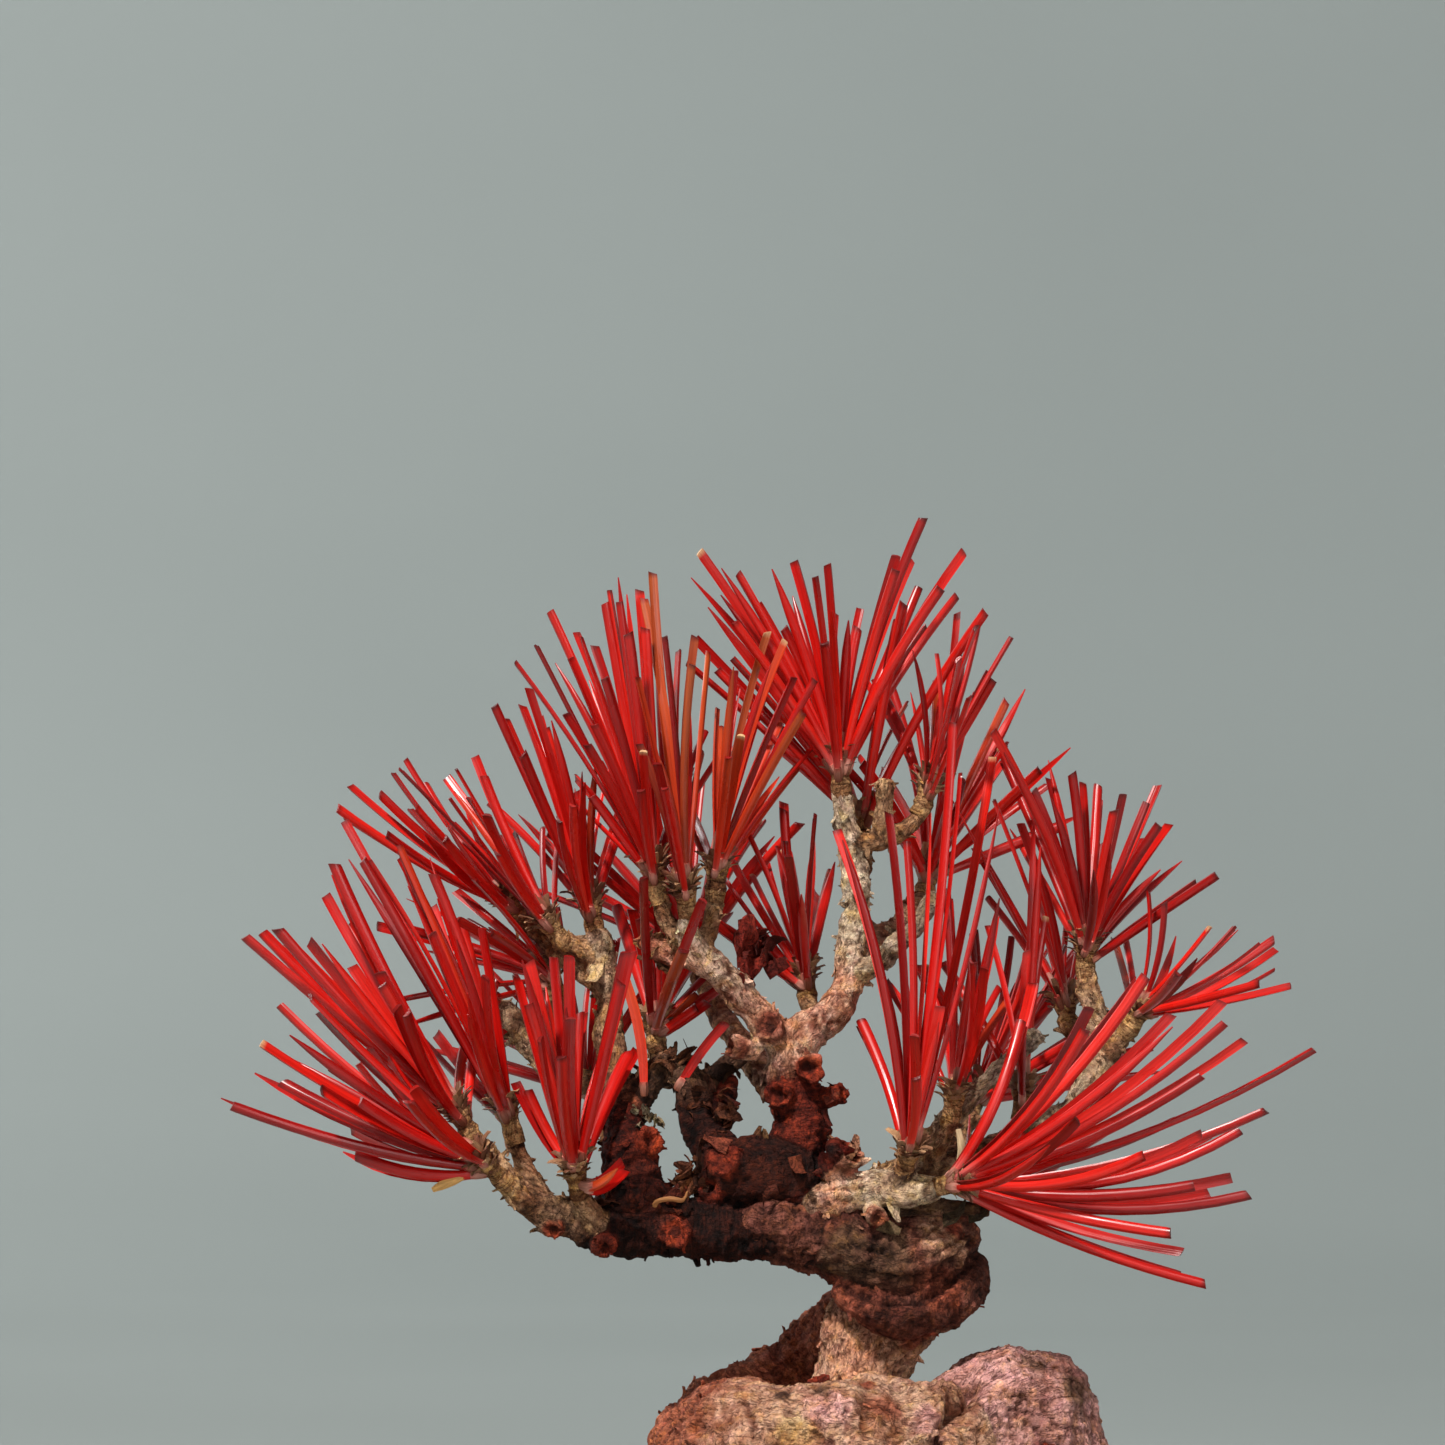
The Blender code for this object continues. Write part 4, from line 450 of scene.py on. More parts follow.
class Finish:
    """A material and the small steps that its nodes are made of."""

    def __init__(self, name):
        self.material = bpy.data.materials.new(name)
        self.material.use_nodes = True
        self.tree = self.material.node_tree
        self.shader = self.tree.nodes["Principled BSDF"]

    def node(self, kind, **settings):
        node = self.tree.nodes.new(kind)
        for key, value in settings.items():
            setattr(node, key, value)
        return node

    def feed(self, socket, value):
        if isinstance(value, bpy.types.NodeSocket):
            self.tree.links.new(value, socket)
        else:
            socket.default_value = value

    def set(self, **sockets):
        for name, value in sockets.items():
            self.feed(self.shader.inputs[name.replace("_", " ")], value)

    def attribute(self, name, output="Vector"):
        return self.node("ShaderNodeAttribute", attribute_name=name).outputs[output]

    def place(self, stretch=(1, 1, 1)):
        """Object coordinates in millimetres, times a stretch."""
        coordinates = self.node("ShaderNodeTexCoord").outputs["Object"]
        return self.times(coordinates, [PER_METRE * s for s in stretch])

    def times(self, vector, stretch):
        node = self.node("ShaderNodeVectorMath", operation="MULTIPLY")
        self.feed(node.inputs[0], vector)
        node.inputs[1].default_value = stretch
        return node.outputs[0]

    def noise(self, vector, scale=1.0, detail=3.0, rough=0.5, warp=0.0):
        node = self.node("ShaderNodeTexNoise")
        self.feed(node.inputs["Vector"], vector)
        node.inputs["Scale"].default_value = scale
        node.inputs["Detail"].default_value = detail
        node.inputs["Roughness"].default_value = rough
        node.inputs["Distortion"].default_value = warp
        return node.outputs["Fac"]

    def span(self, value, low, high, start=0.0, end=1.0):
        """The value's run from low to high, stretched to start to end and held there."""
        node = self.node("ShaderNodeMapRange", clamp=True)
        self.feed(node.inputs["Value"], value)
        for key, number in zip(("From Min", "From Max", "To Min", "To Max"), (low, high, start, end)):
            node.inputs[key].default_value = number
        return node.outputs[0]

    def math(self, operation, first, second=0.0):
        node = self.node("ShaderNodeMath", operation=operation)
        self.feed(node.inputs[0], first)
        self.feed(node.inputs[1], second)
        return node.outputs[0]

    def mix(self, share, first, second, way="MIX"):
        node = self.node("ShaderNodeMix", data_type="RGBA", blend_type=way)
        self.feed(node.inputs[0], share)
        for socket, value in zip((node.inputs[6], node.inputs[7]), (first, second)):
            if isinstance(value, tuple):
                value = (*value[:3], 1)
            self.feed(socket, value)
        return node.outputs[2]

    def shaded(self, share, colour, factor):
        """The colour, multiplied by a factor where the share is 1."""
        return self.mix(share, colour, self.mix(1.0, colour, factor, "MULTIPLY"))

    def creases(self, vector, detail, rough, warp, wide):
        """Thin wandering lines: 1 on a line, 0 away from it."""
        folds = self.math("ABSOLUTE", self.math("SUBTRACT", self.noise(vector, 1.0, detail, rough, warp), 0.5))
        return self.span(folds, 0.0, wide, 1.0, 0.0)

    def relief(self, height, deep, strength=1.0, below=None):
        """Bump of the given depth in millimetres."""
        node = self.node("ShaderNodeBump")
        node.inputs["Strength"].default_value = strength
        node.inputs["Distance"].default_value = deep * MM
        self.feed(node.inputs["Height"], height)
        if below is not None:
            self.feed(node.inputs["Normal"], below)
        return node.outputs[0]


def bark_finish():
    """Old bark: the colour of each place comes with the mesh, and the nodes add cracks, fibres and specks, with painted
    shade in the cracks and folds.
    """
    f = Finish("bark")
    along = f.attribute("straight")
    tone = f.attribute("tone", "Color")
    at = f.place()
    ringed = f.attribute("tone", "Alpha")
    cloud = f.noise(at, 0.3, 3.0, 0.55, 0.3)
    hue = f.noise(at, 0.55, 3.0, 0.6, 0.4)
    mottle = f.noise(at, 1.3, 4.0, 0.7, 0.6)
    specks = f.noise(at, 3.6, 3.0, 0.7)
    fibres = f.noise(f.times(along, (1.5, 1.5, 0.9)), 1.0, 5.0, 0.7, 1.4)
    wrinkles = f.noise(f.times(along, (0.5, 0.5, 2.1)), 1.0, 3.0, 0.6, 0.7)
    folds = f.math("MULTIPLY", f.span(wrinkles, 0.38, 0.52, 1.0, 0.0), ringed)
    cracks = f.creases(f.times(along, (0.9, 0.9, 0.4)), 4.0, 0.6, 1.0, 0.03)
    nicks = f.creases(f.times(along, (2.1, 2.1, 1.1)), 3.0, 0.6, 0.8, 0.05)
    colour = f.shaded(f.span(cloud, 0.38, 0.66), tone, (1.12, 1.14, 1.16))
    colour = f.shaded(f.span(cloud, 0.34, 0.5, 0.7, 0.0), colour, (0.84, 0.7, 0.64))
    colour = f.shaded(f.span(hue, 0.52, 0.66), colour, (1.1, 1.06, 0.78))
    colour = f.shaded(f.span(hue, 0.34, 0.46, 1.0, 0.0), colour, (0.97, 0.93, 1.04))
    colour = f.shaded(f.span(mottle, 0.5, 0.64), colour, (1.42, 1.38, 1.32))
    colour = f.shaded(f.span(mottle, 0.36, 0.48, 0.9, 0.0), colour, (0.6, 0.5, 0.45))
    colour = f.shaded(f.span(fibres, 0.36, 0.48, 0.35, 0.0), colour, (0.55, 0.47, 0.42))
    # Darker nicks, folds and cracks: partly the bark's own dark fissures, partly painted shade in them.
    colour = f.shaded(f.math("MULTIPLY", nicks, 0.4), colour, (0.45, 0.36, 0.32))
    colour = f.shaded(folds, colour, (0.4, 0.3, 0.26))
    colour = f.shaded(f.span(specks, 0.56, 0.68, 0.0, 0.8), colour, (1.4, 1.36, 1.3))
    colour = f.shaded(f.math("MULTIPLY", cracks, 0.7), colour, (0.3, 0.22, 0.2))
    rough = f.span(mottle, 0.3, 0.7, 0.66, 0.92)
    high = f.math("ADD", f.math("MULTIPLY", fibres, 0.7), mottle)
    low = f.math("ADD", f.math("MULTIPLY", cracks, 0.5), f.math("MULTIPLY", folds, 0.5))
    skin = f.relief(f.math("SUBTRACT", high, low), 0.5)
    f.set(Base_Color=colour, Roughness=rough, Normal=f.relief(specks, 0.14, 1.0, skin), Metallic=0.0,
          Specular_IOR_Level=0.2)
    return f.material


def needle_finish():
    """Dyed needles: glossy skin with fine lines along it, and lighter streaks that are partly painted highlights."""
    f = Finish("needle")
    along = f.attribute("straight")
    tone = f.attribute("tone", "Color")
    lines = f.noise(f.times(along, (3.4, 3.4, 0.05)), 1.0, 2.0, 0.5)
    cloud = f.noise(f.times(along, (0.5, 0.5, 0.12)), 1.0, 3.0, 0.5)
    colour = f.shaded(f.span(lines, 0.4, 0.62, 0.0, 0.5), tone, (0.55, 0.4, 0.4))
    # Lighter streaks along the needles: partly uneven dye, partly painted highlight streaks.
    colour = f.shaded(f.span(cloud, 0.5, 0.75, 0.0, 0.6), colour, (1.2, 1.5, 1.2))
    colour = f.shaded(f.span(cloud, 0.3, 0.45, 0.6, 0.0), colour, (0.7, 0.5, 0.5))
    rough = f.span(cloud, 0.3, 0.7, 0.2, 0.4)
    f.set(Base_Color=colour, Roughness=rough, Normal=f.relief(lines, 0.05), Metallic=0.0, Specular_IOR_Level=0.5)
    return f.material


def paper_finish():
    """Sheaths and bud scales: thin, fibrous and slightly shiny."""
    f = Finish("paper")
    along = f.attribute("straight")
    tone = f.attribute("tone", "Color")
    fibres = f.noise(f.times(along, (4.0, 4.0, 0.5)), 1.0, 3.0, 0.6)
    cloud = f.noise(f.place(), 0.9, 3.0, 0.6)
    colour = f.shaded(f.span(fibres, 0.35, 0.6, 0.6, 0.0), tone, (0.5, 0.4, 0.36))
    colour = f.shaded(f.span(cloud, 0.45, 0.7, 0.0, 0.45), colour, (1.3, 1.25, 1.2))
    f.set(Base_Color=colour, Roughness=f.span(cloud, 0.3, 0.7, 0.45, 0.7), Normal=f.relief(fibres, 0.1), Metallic=0.0)
    return f.material


def clay_finish():
    """Unglazed red-brown clay, burnished on the walls, with grog and faint fire marks."""
    f = Finish("clay")
    at = f.place()
    fire = f.noise(at, 0.045, 3.0, 0.55)
    cloud = f.noise(at, 0.3, 4.0, 0.6)
    grog = f.noise(at, 3.0, 2.0, 0.6)
    throw = f.noise(f.times(at, (0.02, 0.02, 1.4)), 1.0, 2.0, 0.5)
    colour = f.mix(f.span(fire, 0.35, 0.65), linear((112, 66, 50)), linear((84, 50, 42)))
    colour = f.mix(f.span(cloud, 0.4, 0.7, 0.0, 0.5), colour, linear((134, 84, 62)))
    colour = f.mix(f.span(grog, 0.62, 0.7, 0.0, 0.45), colour, linear((168, 122, 94)))
    colour = f.mix(f.span(grog, 0.3, 0.38, 0.4, 0.0), colour, linear((52, 32, 26)))
    skin = f.relief(f.math("ADD", f.math("MULTIPLY", throw, 0.5), cloud), 0.25)
    f.set(Base_Color=colour, Roughness=f.span(cloud, 0.3, 0.7, 0.5, 0.72), Normal=f.relief(grog, 0.06, 1.0, skin),
          Metallic=0.0)
    return f.material


def soil_finish():
    """Baked clay granules and the fine dust between them, with painted shade in the gaps."""
    f = Finish("soil")
    at = f.place()
    grain = f.node("ShaderNodeTexVoronoi", feature="F1")
    f.feed(grain.inputs["Vector"], at)
    grain.inputs["Scale"].default_value = 0.62
    dust = f.noise(at, 2.4, 4.0, 0.65)
    shade = f.node("ShaderNodeSeparateColor")
    f.feed(shade.inputs[0], grain.outputs["Color"])
    colour = f.mix(shade.outputs[0], linear((150, 104, 66)), linear((96, 66, 44)))
    colour = f.mix(f.span(dust, 0.4, 0.7, 0.0, 0.6), colour, linear((178, 134, 92)))
    # Darker towards each grain's edge: painted shade in the gaps between the granules.
    colour = f.mix(f.span(grain.outputs["Distance"], 0.3, 0.65, 0.0, 0.8), colour, linear((40, 27, 19)))
    lumps = f.relief(grain.outputs["Distance"], -0.9)
    f.set(Base_Color=colour, Roughness=f.span(dust, 0.3, 0.7, 0.85, 1.0), Normal=f.relief(dust, 0.2, 1.0, lumps),
          Metallic=0.0)
    return f.material


def granule_finish():
    """Single granules: a colour of their own, with pores."""
    f = Finish("granule")
    tone = f.attribute("tone", "Color")
    at = f.place()
    pores = f.noise(at, 2.6, 4.0, 0.7)
    colour = f.shaded(f.span(pores, 0.35, 0.65, 0.6, 0.0), tone, (0.5, 0.45, 0.4))
    f.set(Base_Color=colour, Roughness=f.span(pores, 0.3, 0.7, 0.8, 0.98), Normal=f.relief(pores, 0.3), Metallic=0.0)
    return f.material


def screen_finish():
    """Moulded dark green plastic with a little dust."""
    f = Finish("screen")
    dust = f.noise(f.place(), 1.1, 4.0, 0.6)
    pebble = f.noise(f.place(), 4.0, 2.0, 0.5)
    colour = f.mix(f.span(dust, 0.45, 0.75, 0.0, 0.5), linear((34, 48, 38)), linear((104, 92, 72)))
    f.set(Base_Color=colour, Roughness=f.span(dust, 0.3, 0.7, 0.42, 0.75), Normal=f.relief(pebble, 0.03), Metallic=0.0)
    return f.material


def backdrop_finish():
    f = Finish("backdrop")
    cloud = f.noise(f.place(), 0.004, 2.0, 0.5)
    colour = f.mix(f.span(cloud, 0.3, 0.7), linear((158, 165, 163)), linear((162, 169, 167)))
    f.set(Base_Color=colour, Roughness=0.95, Metallic=0.0, Specular_IOR_Level=0.1)
    return f.material


# Shapes --------------------------------------------------------------------

def resize(shape, factor):
    bmesh.ops.scale(shape, vec=(factor, factor, factor), verts=shape.verts)


def mesh_of(name, shape):
    """A mesh from a bmesh, which is freed."""
    mesh = bpy.data.meshes.new(name)
    shape.to_mesh(mesh)
    shape.free()
    return mesh


def object_of(name, data):
    """An object with the data, in the scene."""
    thing = bpy.data.objects.new(name, data)
    bpy.context.scene.collection.objects.link(thing)
    return thing


def extruded(shape, face):
    """The new end, where the face was pulled out."""
    pulled = bmesh.ops.extrude_face_region(shape, geom=[face, *face.edges])
    return next(part for part in pulled["geom"] if isinstance(part, bmesh.types.BMFace))


def add_layers(shape):
    """The attributes that the materials read: the place before bending, and the colour."""
    return shape.verts.layers.float_vector.new("straight"), shape.verts.layers.float_color.new("tone")


def make_piece(name, shape, material, smooth=50.0):
    """A piece of the object from a bmesh in millimetres. It rides on the part's only body."""
    resize(shape, MM)
    mesh = mesh_of(name, shape)
    mesh.materials.append(material)
    mesh.shade_smooth()
    mesh.set_sharp_from_angle(angle=math.radians(smooth))
    thing = object_of(name, mesh)
    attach(thing, "root")
    return thing


def evaluated_mesh(thing):
    view = bpy.context.evaluated_depsgraph_get()
    return bpy.data.meshes.new_from_object(thing.evaluated_get(view))


def smooth_stations(stops, step):
    """Points and radii on a Catmull-Rom curve through the stops, about one step apart."""
    rows = [Vector(stop) for stop in stops]
    rows = [2 * rows[0] - rows[1], *rows, 2 * rows[-1] - rows[-2]]
    stations = []
    for before, start, end, after in zip(rows, rows[1:], rows[2:], rows[3:]):
        count = max(1, round((end - start).to_3d().length / step))
        for i in range(count):
            t = i / count
            stations.append(0.5 * (
                2 * start + (end - before) * t + (2 * before - 5 * start + 4 * end - after) * t ** 2
                + (3 * start - before - 3 * end + after) * t ** 3))
    stations.append(rows[-2])
    return [(row.to_3d(), row.w) for row in stations]


def turns_along(places, side=None):
    """A turn for each place that puts its Z along the way, and its Y towards side at the start."""
    ways = []
    for i in range(len(places)):
        ways.append((places[min(i + 1, len(places) - 1)] - places[max(i - 1, 0)]).normalized())
    turn = Vector((0, 0, 1)).rotation_difference(ways[0])
    if side is not None:
        up = (side - ways[0] * side.dot(ways[0])).normalized()
        turn = Matrix((up.cross(ways[0]), up, ways[0])).transposed().to_quaternion()
    turns = [turn]
    for before, way in zip(ways, ways[1:]):
        turns.append(before.rotation_difference(way) @ turns[-1])
    return turns


def rod(outline, places, sizes, tones, side=None, lift=0.0, slant=0.0):
    """A straight rod pulled out of an outline and then bent along its places, its end cut at a slant.

    Its form before bending stays with it as the attribute straight, and the colour as tone.
    """
    shape = bmesh.new()
    ring_of = shape.verts.layers.int.new("ring")
    straight, tone = add_layers(shape)
    bmesh.ops.create_circle(shape, cap_ends=True, segments=len(outline), radius=1)
    shape.verts.ensure_lookup_table()
    for v, (x, y) in zip(shape.verts, outline):
        v.co = (x, y, 0)
    end = shape.faces[:][0]
    for i in range(1, len(places)):
        end = extruded(shape, end)
        for v in end.verts:
            v[ring_of] = i
    runs = [lift]
    for before, place in zip(places, places[1:]):
        runs.append(runs[-1] + (place - before).length)
    turns = turns_along(places, side)
    for v in shape.verts:
        i = v[ring_of]
        flat = Vector((v.co.x * sizes[i], v.co.y * sizes[i], 0))
        if i == len(places) - 1:
            flat.z = slant * flat.x
        v[straight] = (flat.x, flat.y, runs[i])
        v[tone] = (*tones[i], 1)
        v.co = places[i] + turns[i] @ flat
    bmesh.ops.recalc_face_normals(shape, faces=shape.faces)
    return shape


def round_outline(sides):
    return [(math.cos(2 * math.pi * i / sides), math.sin(2 * math.pi * i / sides)) for i in range(sides)]


def joined(shapes):
    """One bmesh from many."""
    whole = bmesh.new()
    add_layers(whole)
    spare = bpy.data.meshes.new("spare")
    for shape in shapes:
        shape.to_mesh(spare)
        shape.free()
        whole.from_mesh(spare)
    bpy.data.meshes.remove(spare)
    return whole


def joined_in_batches(shapes, size=120):
    batches = [joined(shapes[i:i + size]) for i in range(0, len(shapes), size)]
    return joined(batches)


# Wood ----------------------------------------------------------------------

def limb_shape(name):
    """A limb as a plain tube with the large lumps that the solids have."""
    stops = LIMBS[name][2]
    widest = max(stop[3] for stop in stops)
    stations = smooth_stations(stops, 0.8)
    if name not in ("foot", "bark_shard"):
        place, radius = stations[-1]
        way = (place - stations[-2][0]).normalized()
        stations.append((place + way * 0.9, radius * 0.9))
    sides = max(12, round(7 * widest))
    places, sizes = zip(*stations)
    shape = rod(round_outline(sides), places, sizes, [(0, 0, 0)] * len(places))
    shape.normal_update()
    amount = LUMP_SHARE * widest + LUMP_LEAST
    size = LUMP_SIZE_SHARE * widest + LUMP_SIZE_LEAST
    moves = [(v, v.normal * amount * noise.noise(v.co / size)) for v in shape.verts]
    for v, move in moves:
        v.co += move
    return shape


def scar_shape(place, facing, radius, out):
    """A healed cut: a rolled rim round a small hollow."""
    start = Vector(place)
    way = Vector(facing).normalized()
    deep = out - 0.8 * radius
    rows = ((-1.5, 0.95), (0.3 * out, 1.0), (0.75 * out, 1.2), (out, 1.2), (1.04 * out, 0.95), (deep, 0.5), (deep, 0.2))
    shape = bmesh.new()
    add_layers(shape)
    bmesh.ops.create_circle(shape, cap_ends=True, segments=14, radius=1)
    end = shape.faces[:][0]
    turn = Vector((0, 0, 1)).rotation_difference(way)
    frames = [Matrix.LocRotScale(start + way * far, turn, Vector([radius * wide] * 3)) for far, wide in rows]
    bmesh.ops.transform(shape, matrix=frames[0], verts=shape.verts)
    for before, after in zip(frames, frames[1:]):
        end = extruded(shape, end)
        bmesh.ops.transform(shape, matrix=after @ before.inverted(), verts=end.verts)
    bmesh.ops.recalc_face_normals(shape, faces=shape.faces)
    return shape


def fused(shapes, grid):
    """One skin round all the shapes."""
    whole = joined(shapes)
    resize(whole, MM)
    thing = object_of("wood", mesh_of("wood", whole))
    step = thing.modifiers.new("fuse", "REMESH")
    step.mode = "VOXEL"
    step.voxel_size = grid * MM
    result = bmesh.new()
    result.from_mesh(evaluated_mesh(thing))
    bpy.data.objects.remove(thing, do_unlink=True)
    resize(result, PER_METRE)
    for _ in range(SMOOTHINGS):
        bmesh.ops.smooth_vert(
            result, verts=result.verts, factor=0.5, use_axis_x=True, use_axis_y=True, use_axis_z=True)
    return result


def limb_stations(names):
    """Everything about the places along the limbs, as arrays."""
    rows = []
    for number, name in enumerate(names):
        stations = smooth_stations(LIMBS[name][2], 0.6)
        places = [place for place, _ in stations]
        turns = turns_along(places)
        run = 0.0
        for i, (place, radius) in enumerate(stations):
            if i:
                run += (place - places[i - 1]).length
            share = i / (len(stations) - 1)
            turn = (x for row in turns[i].to_matrix() for x in row)
            rows.append([*place, radius, number, share, run + LIMB_APART * number, *turn])
    return np.array(rows)


def follow_limbs(points, names):
    """For each point: the limb it belongs to, the share of that limb's length, and its straightened place."""
    rows = limb_stations(names)
    best = np.empty(len(points), int)
    for start in range(0, len(points), 2000):
        part = points[start:start + 2000]
        away = np.linalg.norm(part[:, None] - rows[None, :, :3], axis=2) / (rows[None, :, 3] + 0.4)
        best[start:start + 2000] = away.argmin(axis=1)
    chosen = rows[best]
    turns = chosen[:, 7:].reshape(-1, 3, 3)
    local = np.einsum("ni,nij->nj", points - chosen[:, :3], turns)
    local[:, 2] += chosen[:, 6]
    return chosen[:, 4].astype(int), chosen[:, 5], local


def field(points, stretch, shift=0.0):
    """Smooth noise from -1 to 1 at each point."""
    rows = (points * np.array(stretch) + shift).tolist()
    return np.array([noise.noise(row) for row in rows])


def fields(points, stretch, shifts):
    """A vector of smooth noise at each point."""
    return np.stack([field(points, stretch, shift) for shift in shifts], axis=1)


def plates_at(points, stretch):
    """Distance to the nearest plate's edge, and a number from 0 to 1 for each plate."""
    edge = np.empty(len(points))
    which = np.empty(len(points))
    for i, row in enumerate((points * np.array(stretch)).tolist()):
        away, spots = noise.voronoi(row)
        edge[i] = away[1] - away[0]
        which[i] = (spots[0].x * 7.13 + spots[0].y * 3.71 + spots[0].z * 5.19) % 1
    return edge, which


def step_up(values, low, high):
    share = np.clip((values - low) / (high - low), 0, 1)
    return share * share * (3 - 2 * share)


def bark_at(points, limbs, shares, names):
    """Colours and relief strengths of the bark at each point, blended along the limbs and at the patches."""
    kinds = {}
    for kind, (light, middle, dark, *strengths) in BARK.items():
        kinds[kind] = np.array([*linear(light), *linear(middle), *linear(dark), *strengths])
    mixed = np.zeros((len(points), 12))
    for number, name in enumerate(names):
        own = limbs == number
        stops = LIMB_BARK.get(name, TWIG_BARK)
        wobble = 0.06 * field(points[own], 0.3)
        at = np.clip(shares[own] + wobble, 0, 1)
        table = np.array([kinds[kind] for _, kind in stops])
        ends = [share for share, _ in stops]
        mixed[own] = np.stack([np.interp(at, ends, table[:, k]) for k in range(12)], axis=1)
    ragged = 1 + 0.35 * field(points, 0.6, 3.3)
    patches = list(PATCHES)
    for place, facing, radius, out in SCARS:
        way = Vector(facing).normalized()
        patches.append((Vector(place) + way * 0.6 * out, radius * 1.45, "scar"))
        # Painted shade fills the hollow of each cut.
        patches.append((Vector(place) + way * (out - 0.5 * radius), radius * 0.62, "hollow"))
    for place, reach, kind in patches:
        away = np.linalg.norm(points - np.array(place), axis=1) / (reach * ragged)
        share = (1 - step_up(away, 0.6, 1.1))[:, None] * 0.85
        mixed += (kinds[kind] - mixed) * share
    return mixed


def groove_depths(points, normals, grooves):
    """How deep a groove is at each point, and how near its middle, on the side seen from the front."""
    deep = np.zeros(len(points))
    near = np.zeros(len(points))
    for stops, wide, depth in grooves:
        line = np.array([place for place, _ in smooth_stations([(x, 0, z, 1) for x, z in stops], 0.3)])
        away = np.linalg.norm(points[:, None, ::2] - line[None, :, ::2], axis=2).min(axis=1)
        share = np.exp(-(away / wide) ** 2) * np.clip(-1.6 * normals[:, 1], 0, 1)
        deep = np.maximum(deep, depth * share)
        near = np.maximum(near, share)
    return deep, near


def carve_bark(shape, names, name, material, grooves=()):
    """Gives the fused wood its rings, fissures, plates and grooves, and its colours, with painted shade in its
    recesses.
    """
    points = np.array([v.co for v in shape.verts])
    shape.normal_update()
    normals = np.array([v.normal for v in shape.verts])
    limbs, shares, local = follow_limbs(points, names)
    mixed = bark_at(points, limbs, shares, names)
    light, middle, dark = mixed[:, 0:3], mixed[:, 3:6], mixed[:, 6:9]
    ring, fissure, plate = mixed[:, 9], mixed[:, 10], mixed[:, 11]
    drift = fields(points, 0.4, (9.0, 17.0, 25.0))
    drift += 0.4 * fields(points, 1.1, (12.0, 19.0, 28.0))
    bent = local + 1.3 * drift
    rings = 1 - 2.6 * np.abs(field(bent, (0.22, 0.22, 0.9)))
    seams = field(bent, (0.6, 0.6, 0.16), 5.0)
    faint = step_up(field(points, 0.3, 41.0), -0.3, 0.3)
    cuts = np.exp(-(seams / 0.07) ** 2) * (0.35 + 0.65 * faint)
    seams_fine = field(bent, (1.5, 1.5, 0.4), 15.0)
    edge, which = plates_at(bent, (0.55, 0.55, 0.36))
    loose = step_up(field(points, 0.2, 51.0), -0.2, 0.12)
    gaps = (1 - step_up(edge, 0.0, 0.16)) * loose
    lumps = field(points, 0.42, 21.0)
    grain = field(points, 1.4, 2.0)
    size = np.clip(np.linalg.norm(local[:, :2], axis=1) / 4, 0.45, 1.3)
    height = ring * 0.46 * rings - fissure * (0.36 * cuts - 0.2 * seams_fine)
    height += plate * loose * (0.5 * (which - 0.5) - 0.3 * gaps) + 0.4 * lumps + 0.2 * grain
    wander = 0.5 * drift + 0.35 * fields(points, 1.5, (3.0, 6.0, 8.0))
    deep, near = groove_depths(points + wander, normals, grooves)
    moved = points + normals * (height * size - deep)[:, None]
    # Darker in the fissures, plate gaps and ring valleys and less dark on the lumps: partly the bark's own dark
    # fissures, partly painted shade in the recesses. The grooves' darkening is painted shade.
    valleys = step_up(-rings, -0.5, 0.3)
    hollow = 0.7 * fissure * cuts + 0.75 * plate * gaps + ring * 0.75 * valleys - 0.5 * lumps - 0.6 * grain
    hollow = np.clip(hollow + 0.9 * near, 0, 1)
    fair = 0.45 + 0.8 * field(points, 0.2, 31.0) + 0.5 * field(points, 0.75, 35.0)
    fair = np.clip(fair + 0.5 * grain + 0.6 * plate * loose * (which - 0.5), 0, 1)[:, None]
    tone = middle + (light - middle) * fair
    tone += (dark - tone) * (0.85 * hollow)[:, None]
    tone = np.clip(tone, 0, 1)
    straight, tones = add_layers(shape)
    rows = zip(shape.verts, moved.tolist(), local.tolist(), tone.tolist(), ring.tolist())
    for v, place, flat, colour, share in rows:
        v.co = place
        v[straight] = flat
        v[tones] = (*colour, share)
    shape.normal_update()
    surface = [(v.co.copy(), v.normal.copy(), Vector(v[tones][:3])) for v in shape.verts]
    ways = ways_of(points, names)
    piece = make_piece(name, shape, material, 180)
    return piece, surface, ways, plate * (0.3 + 0.7 * (which > 0.35))


def ways_of(points, names):
    """The way that the nearest limb runs at each point."""
    rows = limb_stations(names)
    tree = kdtree.KDTree(len(rows))
    for i, row in enumerate(rows):
        tree.insert(row[:3], i)
    tree.balance()
    return [Vector(rows[tree.find(point)[1]][[9, 12, 15]]) for point in points]


# Flakes, scales and shards ---------------------------------------------------

def flake(length, width, curl, cup, thick, taper):
    """A thin curled plate, rooted at the origin, that runs along X and faces Z."""
    shape = bmesh.new()
    straight, _ = add_layers(shape)
    flat = Matrix.LocRotScale(Vector((0.5, 0, 0)), None, Vector((1, 1, 1)))
    bmesh.ops.create_grid(shape, x_segments=3, y_segments=2, size=0.5, matrix=flat)
    for v in shape.verts:
        x, y = v.co.x, v.co.y
        wide = width * (1 - taper * x ** 1.5)
        v.co = (length * x, wide * y, -cup * width * (2 * y) ** 2 * 0.5)
        bend = curl * x
        v.co.z += length * x * math.sin(bend)
        v.co.x = length * x * math.cos(bend)
    bmesh.ops.solidify(shape, geom=shape.faces, thickness=thick)
    bmesh.ops.recalc_face_normals(shape, faces=shape.faces)
    for v in shape.verts:
        v[straight] = (v.co.y, v.co.z, v.co.x)
    return shape


def flake_meshes(dice, count, width, curl, taper, thick=0.1):
    """A few flakes of length 1 to copy from."""
    meshes = []
    for _ in range(count):
        shape = flake(1, width * dice.uniform(0.75, 1.3), curl * dice.uniform(0.3, 1.4), dice.uniform(0.1, 0.45), thick,
                      taper * dice.uniform(0.6, 1.1))
        for v in shape.verts:
            v.co.y += 0.12 * width * math.sin(5 * v.co.x + dice.uniform(0, 6)) * v.co.x
        meshes.append(mesh_of("flake", shape))
    return meshes


